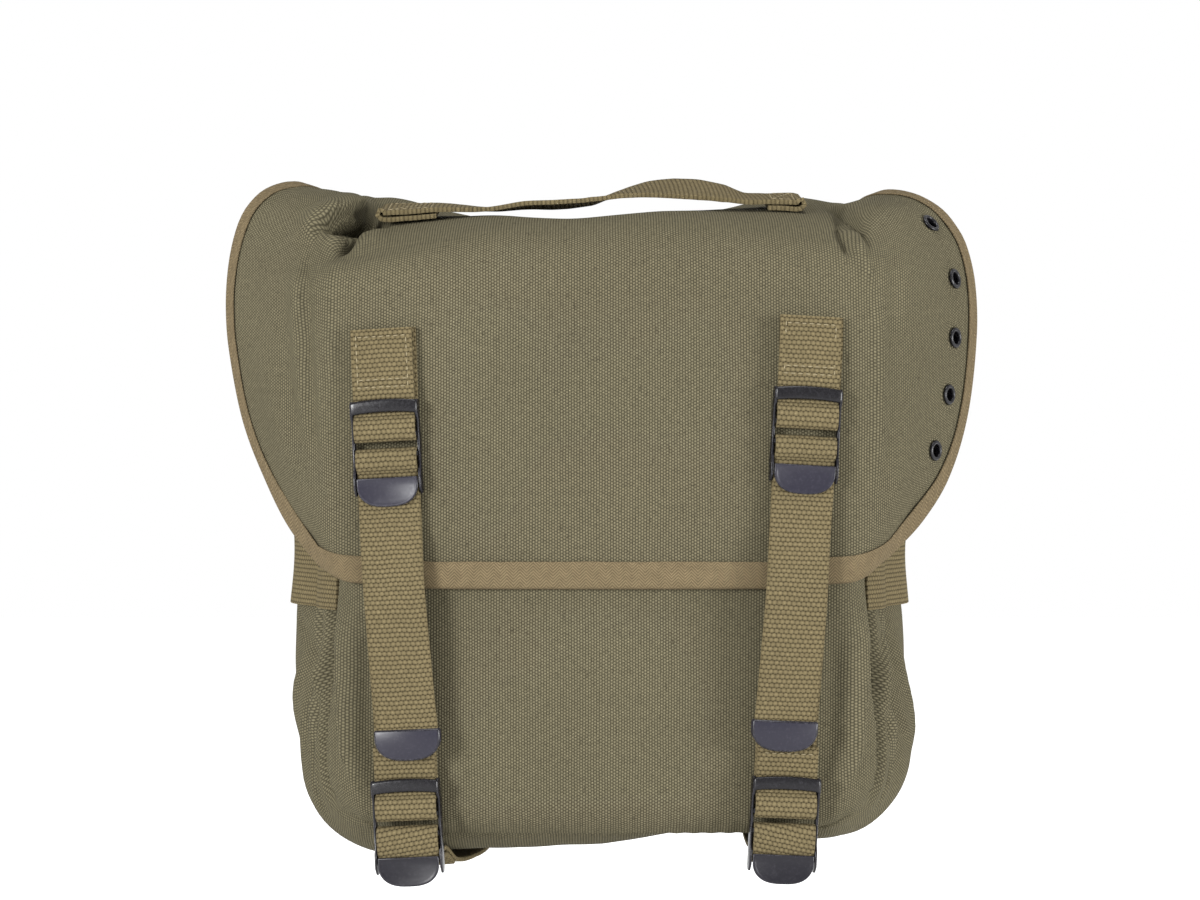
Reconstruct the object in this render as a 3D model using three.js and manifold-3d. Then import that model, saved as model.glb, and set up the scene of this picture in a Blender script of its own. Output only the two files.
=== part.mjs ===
// A canvas belt bag with a wide flap over its mouth, after the military field pack.
// Millimetres, +Z up, +X to the bag's right-hand side in the front view, +Y towards the wearer's back.
// The group's origin is the belt line: the middle of the belt's channel against the back panel.
// Everything is modelled in bag coordinates first, with z 0 at the front panel's bottom seam and y 0 at the
// outer face of the back panel, and the whole bag is then lowered so that the belt line is at the origin.
import * as THREE from "three";
import { mergeVertices, mergeGeometries } from "three/addons/utils/BufferGeometryUtils.js";
import Module from "manifold-3d";

const wasm = await Module();
wasm.setup();

// Cloth and webbing
const CANVAS = 1.6; // wall of every canvas panel
const WEBBING = 2.0; // thickness of the strap webbing
const WEBBING_WIDTH = 24.4;
const TAPE = 0.8; // thickness of the edge binding
const TAPE_WIDTH = 9.5;
const TAPE_GAP = 0.5; // between the binding and the cloth inside it
const GAP = 0.35; // between pieces that lie on each other
const FACET_GAP = 0.3; // extra room where a straight facet crosses a curved one

// Main bag
const BODY_HEIGHT = 222; // bottom seam to mouth
const BODY_DEPTH = 112; // front seam to the back panel's outer face
const PANEL_HALF_WIDTH = 110;
const CORNER_RADIUS = 26; // lower corners of the front and back panels
const FRONT_BULGE = 9; // how far the stuffed front stands out in its middle
const EDGE_TURN = 8; // how far a panel's rim turns round towards the gusset
const TURN_WIDTH = 11; // over which the rim turns
const GUSSET_BULGE = 24; // how far the gusset stands out beyond the panels where it is fullest
const BACK_HEIGHT = 240; // the back panel stands up to the flap's seam
const MOUTH_LEAN = 4; // the front panel's top edge leans inwards

// Flap
const FLAP_GAP = 2.1; // between the front panel and the flap, which clears the folded binding
const FLAP_TOP = 250; // top of the lid in the middle
const LID_DEPTH = 38; // behind the front seam, where the lid's heights are given
const ROLL_START = 212; // where the front face starts to roll over
const ROLL_DEPTH = 66;
const ROLL_SQUARENESS = 3; // 2 is an ellipse and more is squarer
const HEM_HEIGHT = 99.2; // lower edge of the flap above the bottom seam
const CREASE_HALF_WIDTH = 112; // where the flap breaks into its side wings
const BACK_RIDGE_RADIUS = 9;
const SEAM_DROP = 15; // how far the flap runs down the back panel
const WING_REACH = 157; // widest point of the wings from the middle
const TUCK_WIDTH = 5; // from the crest of an ear to the bottom of the valley beside it

// Eyelets on the right wing
const EYELET_FLANGE_RADIUS = 4.3;
const EYELET_HOLE_RADIUS = 2.6;
const EYELET_METAL = 0.5;
const EYELET_SIDES = 10;
const EYELET_INSET = 15.8; // from the wing's edge to the eyelet's centre
const EYELET_HEIGHTS = [0.986, 0.895, 0.798, 0.704, 0.611]; // shares of the lid's height

// Buckles
const RAIL = 1.3; // sheet thickness of the buckle's side rails
const BUCKLE_CLEARANCE = 0.35; // between the webbing's edge and a rail
const CROSSBAR_SPACING = 7.8;
const CROSSBAR_HEIGHT = 1.6;
const CROSSBAR_THICKNESS = 1.4;
const TOP_BAR_HEIGHT = 5.2;
const TOP_BAR_RISE = 12.4; // slot to the lower edge of the top bar
const PLATE_DROP = 12.8; // slot to the upper edge of the thumb plate
const PLATE_HEIGHT = 11.6;
const PLATE_THICKNESS = 1.2;
const RAIL_TAIL = 7; // how far the rails run down beside the thumb plate
const TIP_HEIGHT = 12.4;
const TIP_METAL = 0.6;
const TIP_GRIP = 8.5; // webbing held inside the tip

// Straps, one row a side. foot is the strap's distance from the middle at the bottom seam and drift how far
// the loose end under the bag runs towards the middle, shares of the panel's half width. The other columns
// are heights above the bottom seam, shares of the body's height.
const CLOSURES = [
  { side: "left", sign: -1, foot: 0.685, tabTop: 0.905, slot: 0.698, tipTop: 0.193, low: 0.023, drift: 0.18 },
  { side: "right", sign: 1, foot: 0.64, tabTop: 0.928, slot: 0.721, tipTop: 0.209, low: 0.027, drift: 0 },
];
const LOWER_TAB_TOP = 36; // upper edge of the tab that covers a closure strap's sewn end
const STRAP_SLANT = 3.1; // degrees
const STRAP_YAW = 6; // degrees that a strap turns outwards on the stuffed front
const TAIL_SLEW = 2.6; // how far the hanging tail swings outwards
const ANCHOR_END = 16; // lower end of the closure strap, under the lower tab
const STRAP_REACH = 0.78; // where the lower strap is sewn on, as a share of the depth
const STRAP_RISE = 60; // over which a strap climbs from the panel on to the hem
const LEAD = 3.4; // straight webbing between its turn round a bar and the plies beside it
const TAIL_EASE = 0.4; // extra room for the loose tail

// Side webbing, handle and belt loops
const SIDE_WEB_LOW = 88;
const SIDE_WEB_WIDTH = 38;
const HANDLE_LEFT = -91;
const HANDLE_RIGHT = 82;
const HANDLE_RISE = 6; // room under the middle of the grip
const HANDLE_SEWN_LEFT = 22; // length of each sewn, doubled end
const HANDLE_SEWN_RIGHT = 13;
const HANDLE_SETBACK = 50; // behind the front seam
const HANDLE_PLY_EASE = 0.15; // extra room between the two plies of a doubled end
const HANDLE_END_TURN = 1.3; // how far a doubled end's turn stands out
const BELT_WIDTH = 57; // belt that the loops take
const LOOP_ROOM = 6.5; // depth of the belt's channel
const LOOP_RAMP = 3.5; // half the height over which a loop comes away from the bag
const LOOP_SEW = 16; // length of each sewn end of a belt loop
const LOOP_BELOW_SEAM = 1; // from the flap's seam down to the loops
const LOOP_HALF_SPACING = 62;
const LOOP_HALF = BELT_WIDTH / 2 + LOOP_RAMP;
const BELT_HEIGHT = BACK_HEIGHT - SEAM_DROP - LOOP_BELOW_SEAM - LOOP_SEW - LOOP_HALF; // belt line

// Colours
const finish = (color, roughness, metalness = 0) =>
  new THREE.MeshStandardMaterial({ color, roughness, metalness });
const canvasFinish = finish(0x7b745c, 0.95);
const webbingFinish = finish(0x85775a, 0.95);
const tapeFinish = finish(0x8f8066, 0.95);
const metalFinish = finish(0x3b3a42, 0.45, 0.4);

const lerp = THREE.MathUtils.lerp;
const clamp01 = (value) => THREE.MathUtils.clamp(value, 0, 1);
const smooth = (value) => clamp01(value) ** 2 * (3 - 2 * clamp01(value));
const hill = (value) => (Math.abs(value) < 1 ? (1 - value * value) ** 2 : 0);
const point = (x, y, z) => new THREE.Vector3(x, y, z);

// A curve through table rows: the value of one column at a share of the table's length.
function column(rows, name, share, key = "at") {
  let i = 0;
  while (i < rows.length - 2 && share > rows[i + 1][key]) i++;
  const [a, b] = [rows[i], rows[i + 1]];
  const before = rows[Math.max(i - 1, 0)];
  const after = rows[Math.min(i + 2, rows.length - 1)];
  const width = b[key] - a[key];
  const t = clamp01((share - a[key]) / width);
  const slope = (from, to) => (to[name] - from[name]) / (to[key] - from[key]);
  const [slopeA, slopeB] = [slope(before, b), slope(a, after)];
  const [t2, t3] = [t * t, t * t * t];
  return (
    (2 * t3 - 3 * t2 + 1) * a[name] +
    (t3 - 2 * t2 + t) * width * slopeA +
    (3 * t2 - 2 * t3) * b[name] +
    (t3 - t2) * width * slopeB
  );
}

// The normal of a surface given as a function of two shares, by finite differences.
function normalOf(surface, u, v) {
  const step = 1e-3;
  const along = surface(u + step, v).sub(surface(u - step, v));
  const across = surface(u, v + step).sub(surface(u, v - step));
  return along.cross(across).normalize();
}

// A sheet of cloth: a grid over a surface, given its wall thickness along the surface's normals.
function sheet(surface, us, vs, thickness) {
  const positions = [];
  const index = [];
  const corner = (i, j, side) => (i * vs.length + j) * 2 + side;
  for (const u of us)
    for (const v of vs) {
      const middle = surface(u, v);
      const offset = normalOf(surface, u, v).multiplyScalar(thickness / 2);
      positions.push(...middle.clone().add(offset).toArray(), ...middle.clone().sub(offset).toArray());
    }
  const quad = (a, b, c, d) => index.push(a, b, c, a, c, d);
  for (let i = 0; i < us.length - 1; i++)
    for (let j = 0; j < vs.length - 1; j++) {
      quad(corner(i, j, 0), corner(i + 1, j, 0), corner(i + 1, j + 1, 0), corner(i, j + 1, 0));
      quad(corner(i, j, 1), corner(i, j + 1, 1), corner(i + 1, j + 1, 1), corner(i + 1, j, 1));
    }
  const last = [us.length - 1, vs.length - 1];
  for (let i = 0; i < last[0]; i++) {
    quad(corner(i, 0, 0), corner(i, 0, 1), corner(i + 1, 0, 1), corner(i + 1, 0, 0));
    quad(corner(i, last[1], 0), corner(i + 1, last[1], 0), corner(i + 1, last[1], 1), corner(i, last[1], 1));
  }
  for (let j = 0; j < last[1]; j++) {
    quad(corner(0, j, 0), corner(0, j + 1, 0), corner(0, j + 1, 1), corner(0, j, 1));
    quad(corner(last[0], j, 0), corner(last[0], j, 1), corner(last[0], j + 1, 1), corner(last[0], j + 1, 0));
  }
  return closedGeometry(positions, index);
}

// A closed loft: each section is a ring of the same number of points, capped flat at both ends.
function loft(sections) {
  const ring = sections[0].length;
  const positions = sections.flat().flatMap((p) => p.toArray());
  const index = [];
  for (let i = 0; i < sections.length - 1; i++)
    for (let k = 0; k < ring; k++) {
      const [a, b] = [i * ring + k, i * ring + ((k + 1) % ring)];
      index.push(a, b, b + ring, a, b + ring, a + ring);
    }
  const cap = (section, base, flip) => {
    const across = section[1].clone().sub(section[0]).normalize();
    const normal = across.clone().cross(section[ring - 1].clone().sub(section[0])).normalize();
    const up = normal.clone().cross(across);
    const outline = section.map((p) => new THREE.Vector2(p.dot(across), p.dot(up)));
    for (const [a, b, c] of THREE.ShapeUtils.triangulateShape(outline, []))
      index.push(...(flip ? [base + a, base + c, base + b] : [base + a, base + b, base + c]));
  };
  cap(sections[0], 0, true);
  cap(sections.at(-1), (sections.length - 1) * ring, false);
  return closedGeometry(positions, index);
}

// A BufferGeometry whose faces point outwards whichever way its sections ran.
function closedGeometry(positions, index) {
  const at = (i) => point(positions[3 * i], positions[3 * i + 1], positions[3 * i + 2]);
  let volume = 0;
  for (let i = 0; i < index.length; i += 3)
    volume += at(index[i]).dot(at(index[i + 1]).cross(at(index[i + 2])));
  const faces = volume > 0 ? index : index.map((_, i) => index[i - (i % 3) + [0, 2, 1][i % 3]]);
  const geometry = new THREE.BufferGeometry();
  geometry.setAttribute("position", new THREE.Float32BufferAttribute(positions, 3));
  geometry.setIndex(faces);
  return geometry;
}

// A three.js geometry as a solid for joining and cutting, and back again.
function solid(geometry) {
  const bare = geometry.clone();
  bare.deleteAttribute("normal");
  bare.deleteAttribute("uv");
  const merged = mergeVertices(bare, 1e-4);
  return new wasm.Manifold(
    new wasm.Mesh({
      numProp: 3,
      vertProperties: merged.attributes.position.array,
      triVerts: new Uint32Array(merged.index.array),
    }),
  );
}
function geometryOf(made) {
  const mesh = made.getMesh();
  const geometry = new THREE.BufferGeometry();
  geometry.setAttribute("position", new THREE.BufferAttribute(mesh.vertProperties, 3));
  geometry.setIndex(new THREE.BufferAttribute(mesh.triVerts, 1));
  return geometry;
}

// Shares from 0 to 1 in even steps.
const even = (count) => Array.from({ length: count + 1 }, (_, i) => i / count);

const bag = new THREE.Group();
function add(name, geometry, material, parent = bag) {
  const mesh = new THREE.Mesh(geometry, material.clone());
  mesh.name = name;
  parent.add(mesh);
  return mesh;
}

// Outline of the front and back panels: a U with round lower corners.
// The straps pull the front in a little at mid height. Widths are shares of the panel's half width.
const PANEL_WIDTHS = [
  { at: 0, width: 0.985 },
  { at: 0.16, width: 1.0 },
  { at: 0.28, width: 0.975 },
  { at: 0.48, width: 0.955 },
  { at: 0.7, width: 0.99 },
  { at: 1, width: 1.0 },
];
function halfWidthAt(height) {
  const full = PANEL_HALF_WIDTH * column(PANEL_WIDTHS, "width", clamp01(height / BODY_HEIGHT));
  const below = Math.max(CORNER_RADIUS - height, 0);
  return full - CORNER_RADIUS + Math.sqrt(CORNER_RADIUS ** 2 - Math.min(below, CORNER_RADIUS) ** 2);
}

// Heights of a panel's grid, closer together round the lower corners.
const panelHeights = (top, rows) => [
  ...[0, 8, 20, 36, 56, 90].map((degrees) => CORNER_RADIUS * (1 - Math.cos((degrees * Math.PI) / 180))),
  ...even(rows).slice(1).map((share) => lerp(CORNER_RADIUS, top, share)),
];
const panelShares = [0, 0.035, 0.08, 0.15, 0.28, 0.42, 0.5, 0.58, 0.72, 0.85, 0.92, 0.965, 1];

// How far a panel's rim has turned in, from 0 inside to 1 at the seam.
function rimTurn(x, height) {
  const side = Math.max(1 - (halfWidthAt(height) - Math.abs(x)) / TURN_WIDTH, 0);
  const bottom = Math.max(1 - height / TURN_WIDTH, 0);
  return Math.min(Math.hypot(side, bottom) ** 2, 1);
}

// Mid surface of the front panel, as its distance along y at a place of the front view.
function frontY(x, height) {
  const across = clamp01(Math.abs(x) / PANEL_HALF_WIDTH);
  const up = clamp01(height / BODY_HEIGHT);
  const swell = (1 - across ** 2.4) * (0.45 + 0.55 * Math.sin(Math.PI * clamp01(0.18 + 0.75 * up)));
  const rim = rimTurn(x, height);
  const lean = MOUTH_LEAN * smooth((up - 0.86) / 0.14) * (1 - rim);
  return -BODY_DEPTH - FRONT_BULGE * swell + EDGE_TURN * rim + lean;
}

// A panel is mapped from shares across and up.
function panelSurface(yOf) {
  return (share, height) => {
    const x = (2 * share - 1) * halfWidthAt(height);
    return point(x, yOf(x, height), height);
  };
}
const frontPanel = panelSurface(frontY);
const backY = (x, height) => -CANVAS / 2 - EDGE_TURN * rimTurn(x, height);
const backPanel = panelSurface(backY);

function buildPanels() {
  add("front_panel", sheet(frontPanel, panelShares, panelHeights(BODY_HEIGHT, 9), CANVAS), canvasFinish);
  add("back_panel", sheet(backPanel, panelShares, panelHeights(BACK_HEIGHT, 5), CANVAS), canvasFinish);
}

// Gusset: one strip down a side, under the bottom and up the other side. It bulges between the two seams,
// with one upright fold behind the front seam. Shares of the depth, and of the bulge on the side and below.
const GUSSET_FOLDS = [
  { at: 0, side: 0.0, bottom: 0.0 },
  { at: 0.09, side: 0.2, bottom: 0.42 },
  { at: 0.18, side: 0.36, bottom: 0.72 },
  { at: 0.28, side: 0.34, bottom: 0.92 },
  { at: 0.44, side: 0.86, bottom: 1.0 },
  { at: 0.6, side: 1.0, bottom: 0.96 },
  { at: 0.8, side: 0.72, bottom: 0.7 },
  { at: 1, side: 0.0, bottom: 0.0 },
];
// How full the gusset is, from the mouth (0) down a side and round to the middle of the bottom (1).
const GUSSET_FULLNESS = {
  left: [
    { at: 0, full: 0.26 },
    { at: 0.1, full: 0.6 },
    { at: 0.22, full: 0.86 },
    { at: 0.34, full: 0.9 },
    { at: 0.44, full: 0.97 },
    { at: 0.52, full: 0.87 },
    { at: 0.614, full: 0.7 },
    { at: 0.678, full: 0.8 },
    { at: 0.742, full: 0.6 },
    { at: 0.87, full: 0.5 },
    { at: 1, full: 0.4 },
  ],
  right: [
    { at: 0, full: 0.26 },
    { at: 0.1, full: 0.6 },
    { at: 0.22, full: 0.82 },
    { at: 0.34, full: 0.84 },
    { at: 0.44, full: 0.88 },
    { at: 0.52, full: 0.86 },
    { at: 0.614, full: 0.86 },
    { at: 0.678, full: 0.7 },
    { at: 0.742, full: 0.3 },
    { at: 0.87, full: 0.14 },
    { at: 1, full: 0.4 },
  ],
};
const SEAM_GAP = CANVAS / 2 + GAP; // between the gusset's first row and the panel's rim
const FRONT_SEAM = -BODY_DEPTH + EDGE_TURN + SEAM_GAP;
const BACK_SEAM = -CANVAS / 2 - EDGE_TURN - SEAM_GAP;

// The outline as a path from the left side's top (0) to the right side's top (1), with its outward direction.
const STRAIGHT = BODY_HEIGHT - CORNER_RADIUS;
const CORNER_ARC = (CORNER_RADIUS * Math.PI) / 2;
const BOTTOM_HALF = PANEL_HALF_WIDTH * PANEL_WIDTHS[0].width - CORNER_RADIUS;
const OUTLINE_HALF = STRAIGHT + CORNER_ARC + BOTTOM_HALF;
function outlineAt(share) {
  const sign = share < 0.5 ? -1 : 1;
  const along = OUTLINE_HALF * (1 - Math.abs(2 * share - 1)); // from the top of that side
  if (along < STRAIGHT) {
    const height = BODY_HEIGHT - along;
    return { x: sign * halfWidthAt(height), z: height, out: point(sign, 0, 0), below: 0 };
  }
  if (along < STRAIGHT + CORNER_ARC) {
    const angle = (along - STRAIGHT) / CORNER_RADIUS;
    const height = CORNER_RADIUS * (1 - Math.sin(angle));
    return {
      x: sign * halfWidthAt(height),
      z: height,
      out: point(sign * Math.cos(angle), 0, -Math.sin(angle)),
      below: smooth(angle / (Math.PI / 2)),
    };
  }
  return { x: sign * (OUTLINE_HALF - along), z: 0, out: point(0, 0, -1), below: 1 };
}
function gussetSurface(share, depthShare) {
  const place = clamp01(share);
  const rim = outlineAt(place);
  const rows = place < 0.5 ? GUSSET_FULLNESS.left : GUSSET_FULLNESS.right;
  const full = GUSSET_BULGE * column(rows, "full", 1 - Math.abs(2 * place - 1));
  const beside = column(GUSSET_FOLDS, "side", depthShare);
  const fold = lerp(beside, column(GUSSET_FOLDS, "bottom", depthShare), rim.below);
  const y = lerp(FRONT_SEAM, BACK_SEAM, depthShare);
  return point(rim.x, y, rim.z).addScaledVector(rim.out, full * fold);
}
const gussetShares = [
  ...even(8).slice(0, -1).map((s) => (s * STRAIGHT) / OUTLINE_HALF / 2),
  ...even(4).slice(0, -1).map((s) => (STRAIGHT + s * CORNER_ARC) / OUTLINE_HALF / 2),
  ...even(3).map((s) => (STRAIGHT + CORNER_ARC + s * BOTTOM_HALF) / OUTLINE_HALF / 2),
];
const gussetDepths = [0, 0.045, 0.1, 0.17, 0.23, 0.29, 0.36, 0.46, 0.58, 0.7, 0.83, 0.93, 1];
function buildGusset() {
  const path = [...gussetShares, ...gussetShares.slice(0, -1).map((s) => 1 - s).reverse()];
  add("gusset", sheet(gussetSurface, path, gussetDepths, CANVAS), canvasFinish);
}

// Side webbing: a broad strip across each gusset. It bridges the upright fold, whose place and half width are
// shares of the depth.
const BRIDGE = { at: 0.29, reach: 0.13, lift: 0.09 };
function buildSideWebbing() {
  const lift = CANVAS / 2 + GAP + FACET_GAP + WEBBING / 2;
  const depths = gussetDepths.slice(1, -1);
  for (const [name, sign] of [["side_webbing_left", -1], ["side_webbing_right", 1]]) {
    const surface = (depthShare, up) => {
      const height = SIDE_WEB_LOW + SIDE_WEB_WIDTH * up;
      const shareAt = (BODY_HEIGHT - height) / OUTLINE_HALF / 2;
      const share = sign < 0 ? shareAt : 1 - shareAt;
      const normal = normalOf(gussetSurface, share, depthShare);
      if (normal.x * sign < 0) normal.negate();
      const bridge = GUSSET_BULGE * BRIDGE.lift * hill((depthShare - BRIDGE.at) / BRIDGE.reach);
      return gussetSurface(share, depthShare).addScaledVector(normal, lift + bridge);
    };
    add(name, sheet(surface, depths, even(3), WEBBING), webbingFinish);
  }
}

// Flap, the part over the bag: up the back panel, over the lid and down the front. Shares of its length.
const AT_BACK_RIDGE = 0.06;
const AT_LID = 0.11;
const AT_ROLL = 0.3;
const AT_FRONT = 0.52; // where the front face starts
const FLAP_FLATNESS = 0.93; // the flap is a little flatter across than the panel under it
const flapFrontY = (x, height) =>
  frontY(x * FLAP_FLATNESS, Math.min(height, ROLL_START)) - CANVAS - FLAP_GAP;

// The lid from its left end (-1) to its right end (1): its height, and its rise towards the back.
const LID = [
  { at: -1, up: 0.968, slope: 0.33 },
  { at: -0.81, up: 0.98, slope: 0.28 },
  { at: -0.62, up: 0.99, slope: 0.16 },
  { at: -0.42, up: 0.998, slope: 0.06 },
  { at: -0.12, up: 0.994, slope: 0.0 },
  { at: 0.22, up: 1.006, slope: 0.03 },
  { at: 0.5, up: 1.004, slope: 0.12 },
  { at: 0.71, up: 1.002, slope: 0.2 },
  { at: 1, up: 0.99, slope: 0.19 },
];
function lidHeight(x, y) {
  const across = THREE.MathUtils.clamp(x / CREASE_HALF_WIDTH, -1, 1);
  const behind = THREE.MathUtils.clamp(BODY_DEPTH + y, 10, BODY_DEPTH);
  return FLAP_TOP * column(LID, "up", across) + column(LID, "slope", across) * (behind - LID_DEPTH);
}

// The wings. Each row is a place along the flap. fold is where the flap breaks into the wing, a share of
// the crease's distance. out, back and up place the wing's edge, shares of the way from crease to reach, of
// the bag's depth and of the lid's height. lift raises the crest of the ear and dip sinks the valley beside
// it, shares of the lid's height.
const WINGS = {
  left: [
    { at: 0, fold: 1, out: 0.023, back: 1.022, up: 0.936, lift: 0, dip: 0 },
    { at: 0.06, fold: 0.98, out: 0.065, back: 1.009, up: 0.996, lift: 0, dip: 0 },
    { at: 0.12, fold: 0.93, out: 0.145, back: 0.902, up: 1.034, lift: 0.002, dip: 0.002 },
    { at: 0.2, fold: 0.9, out: 0.267, back: 0.75, up: 1.056, lift: 0.006, dip: 0.006 },
    { at: 0.27, fold: 0.91, out: 0.445, back: 0.607, up: 1.064, lift: 0.016, dip: 0.016 },
    { at: 0.325, fold: 0.945, out: 0.665, back: 0.518, up: 1.047, lift: 0.034, dip: 0.024 },
    { at: 0.365, fold: 0.975, out: 0.812, back: 0.473, up: 1.016, lift: 0.032, dip: 0.024 },
    { at: 0.395, fold: 0.992, out: 0.892, back: 0.455, up: 0.982, lift: 0.01, dip: 0.008 },
    { at: 0.44, fold: 1, out: 0.955, back: 0.438, up: 0.926, lift: 0, dip: 0 },
    { at: 0.5, fold: 1.01, out: 0.979, back: 0.429, up: 0.856, lift: 0, dip: 0 },
    { at: 0.57, fold: 1.012, out: 0.948, back: 0.42, up: 0.78, lift: 0, dip: 0 },
    { at: 0.68, fold: 1.012, out: 0.805, back: 0.384, up: 0.66, lift: 0, dip: 0 },
    { at: 0.8, fold: 1, out: 0.557, back: 0.295, up: 0.558, lift: 0, dip: 0 },
    { at: 0.9, fold: 0.955, out: 0.313, back: 0.179, up: 0.486, lift: 0, dip: 0 },
    { at: 1, fold: 0.875, out: 0.016, back: 0.071, up: 0.427, lift: 0, dip: 0 },
  ],
  right: [
    { at: 0, fold: 1, out: 0.023, back: 1.022, up: 0.936, lift: 0, dip: 0 },
    { at: 0.06, fold: 0.98, out: 0.065, back: 1.009, up: 0.996, lift: 0, dip: 0 },
    { at: 0.12, fold: 0.94, out: 0.1, back: 0.902, up: 1.03, lift: 0.001, dip: 0.001 },
    { at: 0.2, fold: 0.92, out: 0.145, back: 0.75, up: 1.048, lift: 0.004, dip: 0.006 },
    { at: 0.27, fold: 0.93, out: 0.267, back: 0.625, up: 1.051, lift: 0.01, dip: 0.012 },
    { at: 0.325, fold: 0.955, out: 0.466, back: 0.536, up: 1.039, lift: 0.018, dip: 0.016 },
    { at: 0.365, fold: 0.975, out: 0.644, back: 0.491, up: 1.018, lift: 0.018, dip: 0.016 },
    { at: 0.395, fold: 0.988, out: 0.756, back: 0.473, up: 0.996, lift: 0.006, dip: 0.006 },
    { at: 0.44, fold: 0.997, out: 0.878, back: 0.455, up: 0.956, lift: 0, dip: 0 },
    { at: 0.5, fold: 1, out: 0.955, back: 0.433, up: 0.89, lift: 0, dip: 0 },
    { at: 0.57, fold: 1, out: 0.962, back: 0.411, up: 0.804, lift: 0, dip: 0 },
    { at: 0.68, fold: 1, out: 0.867, back: 0.371, up: 0.674, lift: 0, dip: 0 },
    { at: 0.8, fold: 0.99, out: 0.665, back: 0.286, up: 0.569, lift: 0, dip: 0 },
    { at: 0.9, fold: 0.945, out: 0.396, back: 0.188, up: 0.499, lift: 0, dip: 0 },
    { at: 1, fold: 0.865, out: 0.072, back: 0.094, up: 0.443, lift: 0, dip: 0 },
  ],
};
const wingOf = (sign) => (sign < 0 ? WINGS.left : WINGS.right);

// The hem rises from its middle towards the corners, between two shares of the crease's distance.
const HEM_LIFT = { by: 2.2, from: 0.55, over: 0.36 };
const hemHeight = (x) =>
  HEM_HEIGHT + HEM_LIFT.by * smooth((Math.abs(x) / CREASE_HALF_WIDTH - HEM_LIFT.from) / HEM_LIFT.over);

// Middle part of the flap at a signed share of the way out to the crease, and a share v of the flap's length.
function flapMiddle(share, v) {
  const rows = wingOf(share);
  const crease = CREASE_HALF_WIDTH * column(rows, "fold", v);
  const x = share * crease;
  const fromCrest = crease - Math.abs(x);
  const flank = smooth(1 - fromCrest / TUCK_WIDTH);
  const valley = hill((fromCrest - TUCK_WIDTH) / (1.5 * TUCK_WIDTH));
  const rise = FLAP_TOP * (column(rows, "lift", v) * flank - column(rows, "dip", v) * valley * (1 - flank));
  const backFace = CANVAS / 2 + GAP;
  const ridge = backFace - BACK_RIDGE_RADIUS;
  if (v < AT_BACK_RIDGE) {
    const top = lidHeight(x, ridge) - BACK_RIDGE_RADIUS;
    return point(x, backFace, lerp(BACK_HEIGHT - SEAM_DROP, top, v / AT_BACK_RIDGE));
  }
  if (v < AT_LID) {
    const angle = ((v - AT_BACK_RIDGE) / (AT_LID - AT_BACK_RIDGE)) * (Math.PI / 2);
    const height = lidHeight(x, ridge) - BACK_RIDGE_RADIUS * (1 - Math.sin(angle));
    return point(x, ridge + BACK_RIDGE_RADIUS * Math.cos(angle), height + rise);
  }
  const frontLine = flapFrontY(x, ROLL_START);
  if (v < AT_ROLL) {
    const y = lerp(ridge, frontLine + ROLL_DEPTH, (v - AT_LID) / (AT_ROLL - AT_LID));
    return point(x, y, lidHeight(x, y) + rise);
  }
  if (v < AT_FRONT) {
    const angle = (1 - (v - AT_ROLL) / (AT_FRONT - AT_ROLL)) * (Math.PI / 2);
    const power = 2 / ROLL_SQUARENESS;
    const y = frontLine + ROLL_DEPTH * (1 - Math.cos(angle) ** power);
    return point(x, y, ROLL_START + (lidHeight(x, y) - ROLL_START) * Math.sin(angle) ** power + rise);
  }
  const height = lerp(ROLL_START, hemHeight(x), (v - AT_FRONT) / (1 - AT_FRONT));
  return point(x, flapFrontY(x, height), height);
}

// Whole flap. The share u runs from the left edge (-1) over the middle (0) to the right edge (1).
const CREASE_SHARE = 0.72;
const WING_LEAD = 0.3; // how far the cloth runs on straight past the crease, as a share of the wing's width
const WING_END = 0.64; // where the wing has turned towards its edge
function flapSurface(u, v) {
  const sign = u < 0 ? -1 : 1;
  const across = Math.abs(u);
  const along = clamp01(v);
  if (across <= CREASE_SHARE) return flapMiddle((sign * across) / CREASE_SHARE, along);
  const rows = wingOf(sign);
  const crease = flapMiddle(sign, along);
  const edge = point(
    sign * lerp(CREASE_HALF_WIDTH, WING_REACH, column(rows, "out", along)),
    -BODY_DEPTH * (1 - column(rows, "back", along)),
    FLAP_TOP * column(rows, "up", along),
  );
  const length = crease.distanceTo(edge);
  const inside = crease.clone().sub(flapMiddle(sign * 0.99, along)).normalize();
  const start = inside.multiplyScalar(length * WING_LEAD).add(crease);
  const end = crease.clone().lerp(edge, WING_END);
  const t = (across - CREASE_SHARE) / (1 - CREASE_SHARE);
  const s = 1 - t;
  return crease
    .clone()
    .multiplyScalar(s ** 3)
    .addScaledVector(start, 3 * s * s * t)
    .addScaledVector(end, 3 * s * t * t)
    .addScaledVector(edge, t ** 3);
}
const halfFlapShares = [
  0, 0.2, 0.4, 0.53, 0.6, 0.64, 0.662, 0.678, 0.692, 0.706, 0.72, 0.76, 0.81, 0.87, 0.94, 1,
];
const flapShares = [...halfFlapShares.slice(1).map((s) => -s).reverse(), ...halfFlapShares];
const flapLengths = [
  0, 0.03, 0.06, 0.085, 0.11, 0.155, 0.2, 0.235, 0.27, 0.3, 0.325, 0.35, 0.375, 0.4, 0.425, 0.45, 0.48, 0.52,
  0.59, 0.67, 0.75, 0.82, 0.88, 0.925, 0.965, 1,
];

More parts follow.
